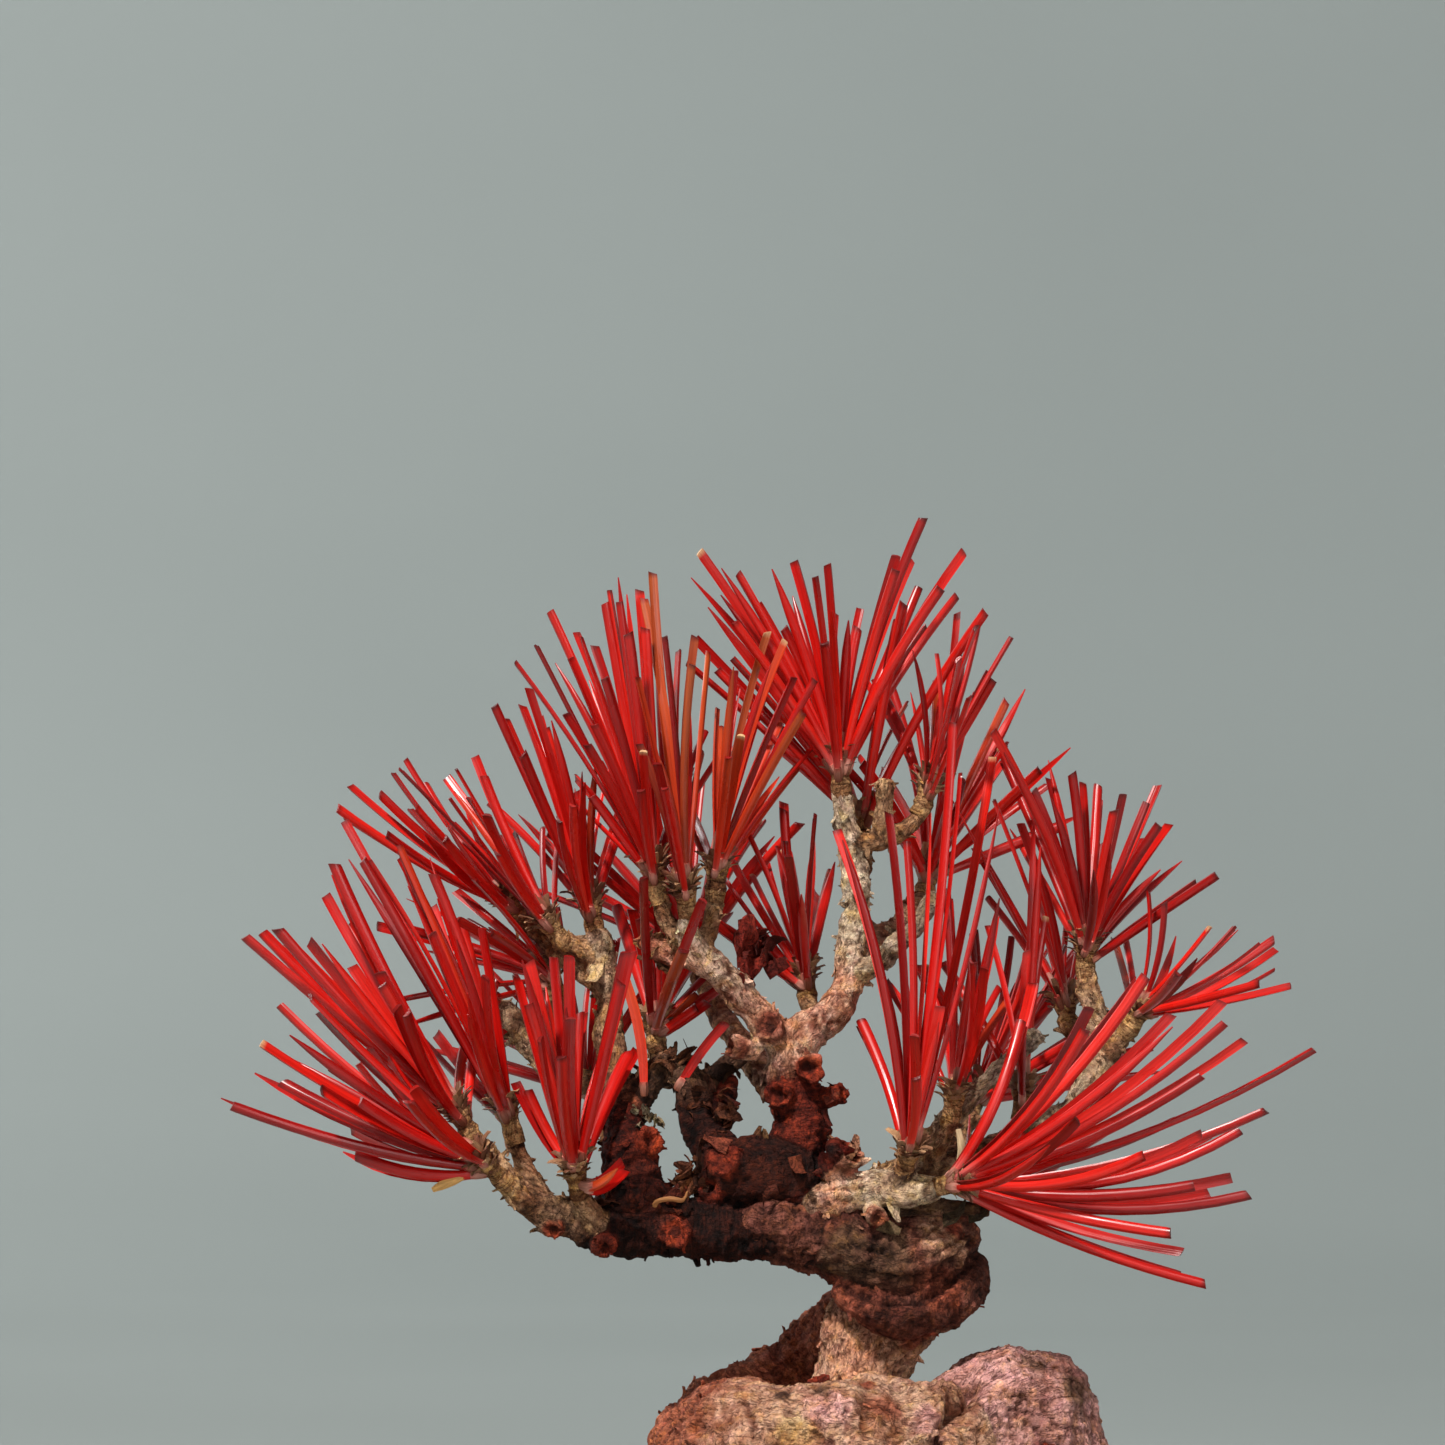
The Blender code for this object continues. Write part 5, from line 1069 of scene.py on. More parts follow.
def copies(meshes, spots):
    """Copies of a few meshes at many spots, given as (number, matrix, colour)."""
    batches = []
    for start in range(0, len(spots), COPIES_AT_ONCE):
        shape = bmesh.new()
        straight, tone = add_layers(shape)
        known = 0
        for number, matrix, colour in spots[start:start + COPIES_AT_ONCE]:
            shape.from_mesh(meshes[number % len(meshes)])
            shape.verts.ensure_lookup_table()
            new = shape.verts[known:]
            known = len(shape.verts)
            bmesh.ops.transform(shape, matrix=matrix, verts=new)
            size = matrix.to_scale().x
            for v in new:
                v[straight] = Vector(v[straight]) * size + Vector((number * 3.1, 0, number * 1.7))
                v[tone] = (*colour, 0.1)
        batches.append(shape)
    return joined(batches)


def facing_frame(place, out, along, size, lift=0.0):
    """A frame whose X runs along, tipped up by lift, and whose Z faces out."""
    x = (along - out * along.dot(out)).normalized()
    x = (x * math.cos(lift) + out * math.sin(lift)).normalized()
    y = out.cross(x).normalized()
    z = x.cross(y)
    turn = Matrix((x, y, z)).transposed()
    return Matrix.LocRotScale(place, turn.to_quaternion(), Vector((size, size, size)))


def build_flakes(surfaces, dice, material):
    """Loose flakes of bark that stand off the wood, as many as each kind of bark sheds."""
    meshes = flake_meshes(dice, 8, 0.7, 0.4, 0.8, 0.09)
    spots = []
    for surface, ways, shed, count, size in surfaces:
        weights = np.maximum(shed, 0.02)
        picks = dice.choices(range(len(surface)), weights=weights.tolist(), k=count)
        for i in picks:
            place, out, colour = surface[i]
            along = ways[i] * dice.choice((-1, 1)) + Vector([dice.uniform(-0.5, 0.5) for _ in range(3)])
            if dice.random() < 0.25:
                along = ways[i].cross(out)
            length = size * dice.uniform(0.6, 1.5)
            lift = dice.uniform(0.25, 0.6) if dice.random() < 0.06 else dice.uniform(0.0, 0.16)
            matrix = facing_frame(place - out * 0.06, out, along, length, lift)
            shade = dice.uniform(0.75, 1.45)
            spots.append((dice.randrange(100), matrix, tuple(min(1, c * shade) for c in colour)))
    shape = copies(meshes, spots)
    piece = make_piece("bark_flakes", shape, material, 60)


# Curls of bark that stand out singly: root, way, facing, length and colour.
SHARDS = (
    ((7.0, -5.4, 87.6), (0.4, 0, 1), (1, -0.4, 0), 2.9, (112, 46, 32)),
    ((7.7, -5.2, 88.6), (0.15, 0, 1), (-1, -0.5, 0), 1.6, (58, 22, 16)),
    ((6.8, -5.8, 86.8), (0.25, 0, -1), (1, -0.6, 0), 2.2, (88, 32, 22)),
    ((6.6, -6.4, 88.0), (1, -0.2, 0.4), (0, -1, 0.4), 2.0, (128, 58, 42)),
    ((7.4, -9.4, 78.4), (0.4, 0, 1), (0.2, -1, 0), 5.0, (118, 36, 26)),
    ((8.3, -9.0, 79.2), (0.3, 0, 1), (-0.3, -1, 0.2), 4.4, (136, 48, 36)),
    ((6.6, -9.0, 78.8), (0.1, 0, 1), (-0.5, -1, 0), 3.4, (92, 30, 22)),
    ((-1.4, -8.4, 82.6), (0.2, 0, 1), (0.4, -1, 0), 2.4, (120, 76, 50)),
    ((-0.6, -8.0, 82.8), (0.5, 0.2, 1), (-0.6, -1, 0), 1.9, (150, 110, 74)),
    ((-4.6, -11.2, 82.6), (-1, 0, 0.5), (-0.3, -1, 0.6), 3.2, (128, 62, 42)),
    ((1.2, -11.0, 77.4), (-1, 0, -0.3), (0, -1, -0.6), 3.4, (96, 44, 30)),
    ((3.2, -10.4, 81.4), (0.2, 0, -1), (0.3, -1, 0), 3.6, (112, 52, 32)),
    ((-20.2, 0.2, 103.6), (0.05, -0.1, -1), (-0.6, -1, 0), 4.4, (214, 182, 138)),
    ((-6.2, -2.4, 90.2), (0.7, 0, 1), (0.5, -1, -0.3), 4.4, (52, 32, 22)),
    ((-5.4, -1.8, 90.8), (0.9, 0, 0.8), (0.2, -1, -0.5), 4.0, (70, 44, 30)),
    ((13.0, -10.2, 73.6), (1, -0.2, -0.4), (0.2, -1, 0), 3.0, (110, 88, 62)),
    ((20.4, -9.6, 74.6), (1, 0, 0.05), (0, -0.5, 1), 4.6, (84, 70, 52)),
    ((23.4, -9.2, 74.6), (1, 0, 0.1), (0, -1, 0.4), 4.2, (66, 54, 40)),
    ((14.6, -11.2, 76.2), (0.3, -0.2, -1), (0.3, -1, 0), 2.6, (206, 178, 140)),
)

# Clumps of dried scales: middle, reach, way, how many, their length and two colours.
CLUMPS = (
    ((-1.3, -3.2, 104.0), (1.9, 1.2, 2.8), (0.4, 0, 1.0), 26, 3.6, (146, 46, 34), (76, 24, 18)),
    ((-8.2, -7.4, 79.3), (1.7, 1.6, 1.9), (-1.0, 0, -0.2), 30, 3.0, (132, 76, 50), (66, 36, 24)),
    ((-14.6, -4.6, 85.2), (2.2, 1.4, 1.5), (0.2, 0, 0.4), 26, 1.8, (162, 148, 122), (88, 72, 56)),
    ((-13.0, -5.0, 105.2), (1.5, 1.0, 1.5), (-0.8, 0, 0.8), 16, 2.8, (176, 132, 90), (98, 66, 46)),
    ((-6.6, -3.0, 86.4), (2.2, 1.6, 3.4), (0.0, 0, 0.4), 38, 2.9, (134, 74, 50), (68, 38, 26)),
    ((-12.4, -9.2, 75.6), (3.6, 1.4, 1.2), (0.0, -0.4, 0.8), 22, 2.4, (138, 64, 46), (72, 30, 20)),
    ((-19.6, -9.6, 75.2), (2.6, 1.6, 1.6), (0.0, -0.2, 0.9), 24, 2.6, (150, 88, 66), (78, 38, 26)),
    ((-12.0, -1.6, 91.4), (2.8, 1.2, 1.6), (0.0, 0, 0.9), 24, 2.6, (142, 92, 62), (76, 44, 30)),
    ((-10.0, -6.4, 106.2), (1.6, 1.3, 1.4), (0.0, -0.3, 0.5), 18, 2.2, (210, 174, 126), (116, 80, 54)),
    ((9.0, -9.2, 81.2), (1.4, 1.2, 1.2), (0.3, 0, 1.0), 14, 2.2, (190, 134, 104), (96, 54, 38)),
)


def build_shards(dice, material):
    """Curls and clumps of dried bark in their own places."""
    meshes = flake_meshes(dice, 10, 0.6, 0.9, 0.85, 0.06)
    spots = []
    for place, way, facing, length, colour in SHARDS:
        matrix = facing_frame(Vector(place), Vector(facing).normalized(), Vector(way), length)
        spots.append((dice.randrange(100), matrix, linear(colour)))
    for middle, reach, way, count, length, first, second in CLUMPS:
        for _ in range(count):
            off = Vector([dice.uniform(-1, 1) for _ in range(3)])
            place = Vector(middle) + 0.75 * Vector([a * b for a, b in zip(off, reach)])
            along = off + Vector(way) + Vector([dice.gauss(0, 0.4) for _ in range(3)])
            out = Vector((dice.gauss(0, 1), dice.gauss(-0.8, 1), dice.gauss(0.3, 1))).normalized()
            matrix = facing_frame(place, out, along, length * dice.uniform(0.55, 1.1))
            spots.append((dice.randrange(100), matrix, blend(linear(first), linear(second), dice.random())))
    make_piece("bark_shards", copies(meshes, spots), material, 60)


# Dried bits that cling to the wood: the places along each, with its radius there, and its colour.
STICKS = (
    (((-32.4, -16.0, 79.8, 0.25), (-34.6, -16.5, 79.5, 0.3), (-36.6, -16.8, 78.7, 0.5), (-38.0, -16.8, 78.2, 0.55),
      (-39.0, -16.8, 77.7, 0.3)), (226, 172, 98)),
    (((-13.3, -10.6, 75.0, 0.3), (-13.0, -11.8, 76.1, 0.34), (-11.4, -12.3, 76.5, 0.4), (-9.9, -11.9, 76.3, 0.34),
      (-9.4, -11.4, 77.3, 0.2)), (188, 126, 74)),
    (((22.0, -10.6, 79.4, 0.3), (22.6, -11.6, 82.0, 0.5), (22.2, -12.0, 84.6, 0.3)), (206, 182, 142)),
)


def build_sticks(material):
    """Dried slivers left from old shoots."""
    slivers = []
    for stops, colour in STICKS:
        places, sizes = zip(*smooth_stations(stops, 0.5))
        tones = [linear(colour)] * len(places)
        slivers.append(rod([(x, 0.6 * y) for x, y in round_outline(8)], places, sizes, tones))
    make_piece("dried_bits", joined(slivers), material)


# Sprays --------------------------------------------------------------------

def seat(name):
    """Where a spray's shoot stands on the end of its limb, which way it starts, its crown and its tips."""
    limb, crown, tips = SPRAYS[name]
    stations = smooth_stations(LIMBS[limb][2], LIMBS[limb][1])
    end = stations[-1][0]
    way = (end - stations[-2][0]).normalized()
    return end + way * GAP, way, Vector(crown), tips


class Needle:
    """A gently bent needle: root and tip, and a middle that first follows the shoot."""

    def __init__(self, spray, root, tip, shoot, spare):
        self.spray = spray
        self.root = root
        self.tip = tip
        self.shoot = shoot
        self.spare = spare
        way = (tip - root).normalized()
        self.middle = root + 0.5 * (tip - root).length * way.lerp(shoot, SHOOT_PULL)
        self.bow = Vector()
        self.flat_side = None

    def place(self, t):
        bent = (1 - t) ** 2 * self.root + 2 * t * (1 - t) * self.middle + t ** 2 * self.tip
        return bent + 4 * t * (1 - t) * self.bow

    def places(self, count):
        return [self.place(i / count) for i in range(count + 1)]


def plan_spray(name, dice):
    """The needles seen from the front, and a few more that point away from and towards the viewer."""
    foot, _, crown, tips = seat(name)
    shoot = (crown - foot).normalized()
    ends = []
    for i, (x, z) in enumerate(tips):
        across = math.hypot(x - crown.x, z - crown.z)
        room = math.sqrt(max(0, NEEDLE_LENGTH ** 2 - across ** 2))
        near_or_far = 1 if i % 2 else -1
        deep = near_or_far * min(room, DEPTH_SHARE * across) * dice.uniform(LEAST_DEPTH, 1)
        ends.append((Vector((x, crown.y + deep, z)), False))
    lean = sum((Vector((x - crown.x, 0, z - crown.z)) for x, z in tips), Vector()).normalized()
    for far_or_near, count in ((1, BACK_FILL), (-1, FRONT_FILL)):
        for i in range(count):
            spread = (i - 0.5 * (count - 1)) * FILL_FAN + dice.uniform(-0.15, 0.15)
            rise = dice.uniform(0.1, 0.4)
            way = lean * dice.uniform(0.35, 0.6) + Vector((spread, far_or_near * FILL_DEPTH, rise))
            length = NEEDLE_LENGTH * dice.uniform(0.6, 0.8)
            ends.append((crown + way.normalized() * length, True))
    ends.sort(key=lambda pair: (pair[0] - crown).normalized().dot(shoot))
    length = (crown - foot).length
    needles = []
    for i, (tip, spare) in enumerate(ends):
        way = (tip - crown).normalized()
        side = (way - shoot * way.dot(shoot)).normalized()
        down = ROOT_ZONE * length * (1 - i / (len(ends) - 1)) - 0.5 * CORE_BUD
        root = crown - shoot * down + side * ROOT_OFFSET * CORE_RADIUS
        needles.append(Needle(name, root, tip, shoot, spare))
    return needles


def plan_needles():
    dice = random.Random(SEED)
    return [needle for name in SPRAYS for needle in plan_spray(name, dice)]


def along_needles(needles):
    """How much root, middle and tip each count for at the samples of a needle's straight stretches."""
    knots = np.linspace(0, 1, NEEDLE_STRETCHES + 1)
    ts = np.linspace(0, 1, SAMPLES)
    shares = [np.interp(ts, knots, share) for share in (
        (1 - knots) ** 2, 2 * knots * (1 - knots), knots ** 2)]
    roots, middles, tips = (
        np.array([getattr(needle, end) for needle in needles]) for end in ("root", "middle", "tip"))
    spots = sum(share[None, :, None] * ends[:, None] for share, ends in zip(shares, (roots, middles, tips)))
    return shares, roots, middles, tips, spots


def close_places(needles, spots):
    """Where needles cross each other or the wood in the front view, and the depth each crossing needs."""
    tree = kdtree.KDTree(spots.shape[0] * SAMPLES)
    for i, row in enumerate(spots):
        for k, spot in enumerate(row):
            tree.insert((spot[0], 0, spot[2]), i * SAMPLES + k)
    tree.balance()
    clear = 2 * NEEDLE_RADIUS + GAP + 0.1
    meets = []
    for i, row in enumerate(spots):
        for k in range(2, SAMPLES):
            for _, other, flat in tree.find_range((row[k][0], 0, row[k][2]), clear):
                j, m = divmod(other, SAMPLES)
                same = needles[i].spray == needles[j].spray
                if j > i and m >= 2 and not same:
                    meets.append((i, k, j, m, math.sqrt(clear ** 2 - flat ** 2)))
    walls = []
    solids = []
    for name, (_, _, stops) in LIMBS.items():
        for place, radius in smooth_stations(stops, WOOD_STEP):
            solids.append((name, place, WOOD_SWELL * radius + WOOD_EXTRA))
    for name in SPRAYS:
        foot, _, crown, _ = seat(name)
        steps = [foot.lerp(crown, share / 4) for share in range(6)]
        solids += [(name, place, CORE_RADIUS) for place in steps]
    for name, place, radius in solids:
        reach = radius + NEEDLE_RADIUS + GAP
        for _, other, flat in tree.find_range((place.x, 0, place.z), reach):
            i, k = divmod(other, SAMPLES)
            own = needles[i].spray == name or (Vector(spots[i, k]) - needles[i].root).length < ROOT_FREE
            if not own:
                walls.append((i, k, name, place.y, math.sqrt(max(0, reach ** 2 - flat ** 2))))
    return meets, walls


def lean_side(keys, apart):
    """One side for every pair of pieces, by which of them lies nearer the viewer on the whole."""
    _, which = np.unique(keys, return_inverse=True)
    mean = np.bincount(which, apart)
    return np.where(mean >= 0, 1.0, -1.0)[which]


def settle(needles):
    """Bends needles forwards or back until they clear each other and the wood, as on the solids."""
    while True:
        shares, roots, middles, tips, spots = along_needles(needles)
        meets, walls = close_places(needles, spots)
        a, ka, b, kb, need = (np.array(column) for column in zip(*meets))
        w, kw, wood, wall_y, wall_need = (np.array(column) for column in zip(*walls))
        pair_key = a * len(needles) + b
        wall_key = w * 1000 + np.unique(wood, return_inverse=True)[1]
        middle_y, tip_y = middles[:, 1].copy(), tips[:, 1].copy()
        start_middle, start_tip = middle_y.copy(), tip_y.copy()
        for turn in range(ROUNDS):
            y = shares[0] * roots[:, 1:2] + shares[1] * middle_y[:, None] + shares[2] * tip_y[:, None]
            pair_apart = y[a, ka] - y[b, kb]
            wall_apart = y[w, kw] - wall_y
            if turn % ROUNDS_PER_SIDE == 0:
                pair_side = lean_side(pair_key, pair_apart)
                wall_side = lean_side(wall_key, wall_apart)
            pair_short = np.maximum(0, need - pair_apart * pair_side)
            wall_short = np.maximum(0, wall_need - wall_apart * wall_side)
            push = np.zeros((2, len(needles)))
            weight = np.full((2, len(needles)), 1e-6)
            for which, at, amount in (
                    (a, ka, 0.5 * pair_short * pair_side), (b, kb, -0.5 * pair_short * pair_side),
                    (w, kw, wall_short * wall_side)):
                for row in (0, 1):
                    s = shares[row + 1][at]
                    np.add.at(push[row], which, amount * s)
                    np.add.at(weight[row], which, (amount != 0) * s ** 2)
            middle_y += BEND_STEP * push[0] / weight[0]
            tip_y += BEND_STEP * push[1] / weight[1]
            middle_y = np.clip(middle_y, start_middle - MOST_BEND, start_middle + MOST_BEND)
            tip_y = np.clip(tip_y, start_tip - MOST_TIP_BEND, start_tip + MOST_TIP_BEND)
            tip_y = np.clip(tip_y, -DEEPEST_TIP, DEEPEST_TIP)
        trouble = np.zeros(len(needles))
        np.maximum.at(trouble, a, pair_short)
        np.maximum.at(trouble, b, pair_short)
        np.maximum.at(trouble, w, wall_short)
        drop = [i for i, needle in enumerate(needles) if needle.spare and trouble[i] > STILL_SHORT]
        if not drop:
            break
        drop.sort(key=lambda i: -trouble[i])
        gone = set(drop[:max(1, len(drop) // 2)])
        needles = [needle for i, needle in enumerate(needles) if i not in gone]
    for i, needle in enumerate(needles):
        needle.middle.y = middle_y[i]
        needle.tip.y = tip_y[i]
    return needles


def twin_of(needle, turn, spread, share):
    """The other needle of a pair: it leaves the same sheath beside the first, at a small angle to it."""
    way = needle.tip - needle.root
    side = Quaternion(way.normalized(), turn) @ way.orthogonal().normalized()
    swing = Quaternion(way.cross(side).normalized(), spread)
    root = needle.root + side * PAIR_APART
    twin = Needle(needle.spray, root, root + (swing @ way) * share, needle.shoot, True)
    twin.middle = root + (swing @ (needle.middle - needle.root)) * share
    twin.bow = needle.bow * 0.8
    return twin, side


def wider_than(twin, needle, crown):
    """Whether the twin leaves the outline that the needle gives the spray in the front view."""
    lean = Vector((needle.shoot.x, needle.shoot.z)).normalized()
    turned = []
    for tip in (twin.tip, needle.tip):
        flat = Vector((tip.x - crown.x, tip.z - crown.z))
        turned.append(abs(flat.angle(lean)))
    return turned[0] > turned[1] + 0.03


def in_box(place, box, margin):
    return all(low + margin < v < high - margin for low, v, high in zip(box[0], place, box[1]))


def add_twins(needles):
    """Black pine needles come in pairs: gives each a twin where one fits between its neighbours."""
    dice = random.Random(SEED + 4)
    box = [Vector(corner) * PER_METRE for corner in CAD_BOX]
    for needle in needles:
        while not in_box(needle.tip, box, 0.5):
            needle.tip = needle.root.lerp(needle.tip, 0.995)
        way = needle.tip - needle.root
        level = math.hypot(way.x, way.y) / way.length
        sag = SAG.get(needle.spray, 0.8) * level ** 2 * dice.uniform(0.7, 1.3)
        needle.bow = Vector((dice.gauss(0, 0.3), dice.gauss(0, 0.2), -sag))
    spots = [np.array(needle.places(PAIR_SAMPLES)) for needle in needles]
    wood = np.array([
        (*place, radius) for _, _, stops in LIMBS.values() for place, radius in smooth_stations(stops, 1.5)])
    crowns = {name: seat(name)[2] for name in SPRAYS}
    grown = list(needles)
    count = len(needles)
    order = [(number, paired) for paired in (True, False) for number in dice.sample(range(count), count)]
    for number, paired in order:
        needle = needles[number]
        if not paired and needle.spray in THIN_SPRAYS:
            continue
        least, most = (0.07, 0.17) if paired else (0.12, 0.3)
        others = np.concatenate([rows[3:] for i, rows in enumerate(spots) if i != number])
        near = others[np.linalg.norm(others - np.array(needle.place(0.5)), axis=1) < PAIR_REACH]
        best = None
        start = dice.uniform(0, FULL_TURN)
        for i in range(PAIR_TRIES):
            turn = start + FULL_TURN * i / PAIR_TRIES
            twin, side = twin_of(needle, turn, dice.uniform(least, most), dice.uniform(0.8, 0.99))
            rows = np.array(twin.places(PAIR_SAMPLES))
            if not in_box(twin.tip, box, 0.8) or wider_than(twin, needle, crowns[needle.spray]):
                continue
            room = MOST_ROOM
            if len(near):
                room = np.linalg.norm(rows[3:, None] - near[None], axis=2).min()
            wood_room = (np.linalg.norm(rows[4:, None] - wood[None, :, :3], axis=2) - wood[:, 3]).min()
            room = min(room, wood_room + 0.5)
            if room > PAIR_ROOM and (best is None or room > best[0]):
                best = (room, twin, side, rows)
        if best:
            _, twin, side, rows = best
            if paired:
                needle.flat_side = side
            twin.flat_side = -side
            grown.append(twin)
            spots.append(rows)
    for spray, root, tip, bow in LONE_NEEDLES:
        way = (Vector(tip) - Vector(root)).normalized()
        needle = Needle(spray, Vector(root), Vector(tip), way, False)
        needle.bow = Vector(bow)
        needle.flat_side = Vector((0, -1, 0))
        grown.append(needle)
    return grown


# A needle's cross-section: a shallow channel between two ridges, and a round back.
CHANNEL = ((1.0, 0.24), (0.5, 0.08), (-0.5, 0.08), (-1.0, 0.24), (-0.86, -0.24), (-0.42, -0.56), (0.42, -0.56),
           (0.86, -0.24))
DEEP_RED = linear((204, 18, 12))
BRIGHT_RED = linear((230, 34, 21))
DARK_RED = linear((134, 8, 7))
RUST = linear((190, 92, 38))
ROOT_PINK = linear((232, 150, 142))
CUT_CREAM = linear((206, 158, 116))
CUT_DARK = linear((84, 10, 8))
SHEATH_PINK = linear((222, 158, 140))
SHEATH_BROWN = linear((132, 72, 48))
SCALE_BROWN = linear((112, 68, 46))
SCALE_TAN = linear((204, 164, 120))
SHOOT_TAN = linear((232, 184, 126))
SHOOT_DARK = linear((128, 80, 50))

# How wide the needles of a spray are, as a share of the solids' needles, and how wide if it isn't named.
USUAL_WIDE = 0.88
WIDE = {"right_low": 0.98, "right_up": 0.9, "left_low": 1.02, "left_tip": 1.05, "left_mid": 0.95, "front_left": 1.02,
        "centre": 0.78, "centre_right": 0.76, "centre_left": 0.84, "left_top": 0.84, "left_high_a": 0.8,
        "left_high_b": 0.85, "top": 0.86, "top_right": 0.78, "right_mid": 0.8, "right_top": 0.8, "inner_left": 1.0,
        "right_inner": 0.76, "right_in_low": 0.76, "right_back": 0.76}
SAG = {"left_tip": 2.2, "left_low": 2.0, "left_mid": 1.8, "right_low": 2.4, "right_mid": 1.8, "left_high_a": 1.6,
       "front_left": 2.0, "right_top": 1.4, "top": 1.2}
RUSTY = {"centre_right": 0.55, "centre": 0.45, "top_low": 0.12, "inner_left": 0.1, "left_high_b": 0.1}
THIN_SPRAYS = ("right_low", "right_up", "right_inner", "right_in_low", "right_top", "right_mid", "right_back", "top",
               "top_right", "top_low")

# Needles that stand alone on the wood: spray, root, tip and how far the middle bows.
LONE_NEEDLES = (
    ("inner_left", (-14.6, -2.9, 88.2), (-17.4, -5.6, 103.6), (0.9, 0, 0)),
    ("inner_left", (-10.6, -2.9, 88.9), (-5.0, -7.0, 96.8), (-0.2, 0, 0.3)),
)


def needle_shape(needle, dice):
    """A channelled needle: narrow at its root, and pointed or trimmed to a slanting cut."""
    wide = WIDE.get(needle.spray, USUAL_WIDE) * dice.uniform(0.82, 1.04)
    pointed = dice.random() < 0.25
    body = blend(DEEP_RED, BRIGHT_RED if dice.random() < 0.65 else DARK_RED, dice.random() ** 1.3)
    tip_tone = blend(body, DARK_RED, dice.uniform(0.0, 0.7))
    rusty = dice.random() < RUSTY.get(needle.spray, 0.025)
    rust = dice.uniform(0.25, 0.75) if rusty else 0.0
    pale = dice.uniform(0.1, 0.9)
    pale_end = dice.uniform(0.07, 0.2)
    places = needle.places(NEEDLE_STEPS)
    sizes = []
    tones = []
    for i in range(NEEDLE_STEPS + 1):
        t = i / NEEDLE_STEPS
        taper = 0.62 + 0.38 * min(1, 2.4 * t) ** 0.7
        if pointed:
            taper *= 1 - max(0, (t - 0.7) / 0.3) ** 1.6 * 0.86
        sizes.append(NEEDLE_RADIUS * wide * taper)
        tone = blend(body, tip_tone, t ** 3)
        tone = blend(tone, ROOT_PINK, pale * max(0, 1 - t / pale_end))
        tones.append(blend(tone, RUST, rust * (0.25 + 0.75 * t)))
    if not pointed:
        end = (places[-1] - places[-2]).normalized()
        places.append(places[-1])
        places[-2] = places[-1] - end * 0.7
        sizes.append(sizes[-1] * 0.95)
        tones.append(CUT_CREAM if dice.random() < 0.05 else blend(CUT_DARK, body, 0.4 * dice.random()))
    way = (needle.tip - needle.root).normalized()
    side = needle.flat_side or needle.shoot - way * 0.2
    roll = Quaternion(way, dice.gauss(0, 0.25 if needle.flat_side else 0.6))
    slant = 0 if pointed else dice.uniform(-0.6, 0.6)
    return rod(CHANNEL, places, sizes, tones, roll @ side, dice.uniform(0, 200), slant)


def sheath_shape(needle, dice):
    """The waxy sleeve round the base of a needle."""
    long = dice.uniform(1.4, 3.0) / (needle.tip - needle.root).length
    pale = blend(SHEATH_PINK, SHEATH_BROWN, dice.random() ** 1.5)
    places = [needle.place(t * long) for t in (0.0, 0.35, 0.7, 1.0)]
    wide = NEEDLE_RADIUS * WIDE.get(needle.spray, USUAL_WIDE)
    sizes = [wide * k for k in (0.72, 0.86, 0.82, 0.7)]
    tones = [SHEATH_BROWN, blend(pale, SHEATH_BROWN, 0.4), pale, blend(pale, DEEP_RED, 0.4)]
    return rod(round_outline(6), places, sizes, tones, None, dice.uniform(0, 200))


def shoot_shape(name, dice):
    """A shoot: a tan stem with scale scars, swollen at its crown."""
    foot, way, crown, _ = seat(name)
    shoot = (crown - foot).normalized()
    length = (crown - foot).length
    start = foot - way * 1.1
    places = [start, foot]
    count = max(4, round(length / 0.7))
    places += [foot.lerp(crown, (i + 1) / count) for i in range(count)]
    places += [crown + shoot * 0.8, crown + shoot * CORE_BUD]
    sizes = [1.1]
    for i in range(count + 1):
        t = i / count
        sizes.append(1.12 + 0.14 * math.sin(9 * t + dice.uniform(0, 1)) + 0.2 * t + dice.uniform(-0.08, 0.08))
    sizes += [0.95, 0.4]
    tan = blend(SHOOT_TAN, SHOOT_DARK, 0.5 * dice.random())
    tones = [blend(tan, SHOOT_DARK, dice.random() ** 2) for _ in places]
    return rod(round_outline(12), places, sizes, tones, None, dice.uniform(0, 200))


def crown_scales(name, dice):
    """Papery scales round the shoot, closest at its crown and curling out."""
    foot, _, crown, _ = seat(name)
    shoot = (crown - foot).normalized()
    length = (crown - foot).length
    side = shoot.orthogonal().normalized()
    spots = []
    count = round(26 + 3 * length)
    for i in range(count):
        t = (i + dice.random()) / count
        turn = Quaternion(shoot, 2.4 * i + dice.uniform(-0.3, 0.3))
        out = turn @ side
        place = foot.lerp(crown, 1.08 - 0.62 * t) + out * (1.15 - 0.2 * t)
        lift = dice.uniform(0.05, 0.25) + 0.35 * (1 - t) * dice.random()
        size = dice.uniform(1.2, 2.1) + 0.7 * (1 - t)
        colour = blend(SCALE_BROWN, SCALE_TAN, dice.random() ** 2)
        spots.append((dice.randrange(100), facing_frame(place, out, shoot, size, lift), colour))
    return spots


def build_sprays(needles, finishes):
    dice = random.Random(SEED + 1)
    sheaths = []
    shoots = []
    scales = []
    for name in SPRAYS:
        own = [needle for needle in needles if needle.spray == name]
        shape = joined([needle_shape(needle, dice) for needle in own])
        spray = make_piece("spray_" + name, shape, finishes["needle"], 70)
        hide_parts("needles_" + name)
        sheaths += [sheath_shape(needle, dice) for needle in own]
        shoots.append(shoot_shape(name, dice))
        scales += crown_scales(name, dice)
    make_piece("needle_sheaths", joined_in_batches(sheaths), finishes["paper"])
    make_piece("shoots", joined(shoots), finishes["bark"])
    meshes = flake_meshes(dice, 8, 0.6, 0.5, 0.75, 0.06)
    make_piece("bud_scales", copies(meshes, scales), finishes["paper"])


# Pot and soil ----------------------------------------------------------------

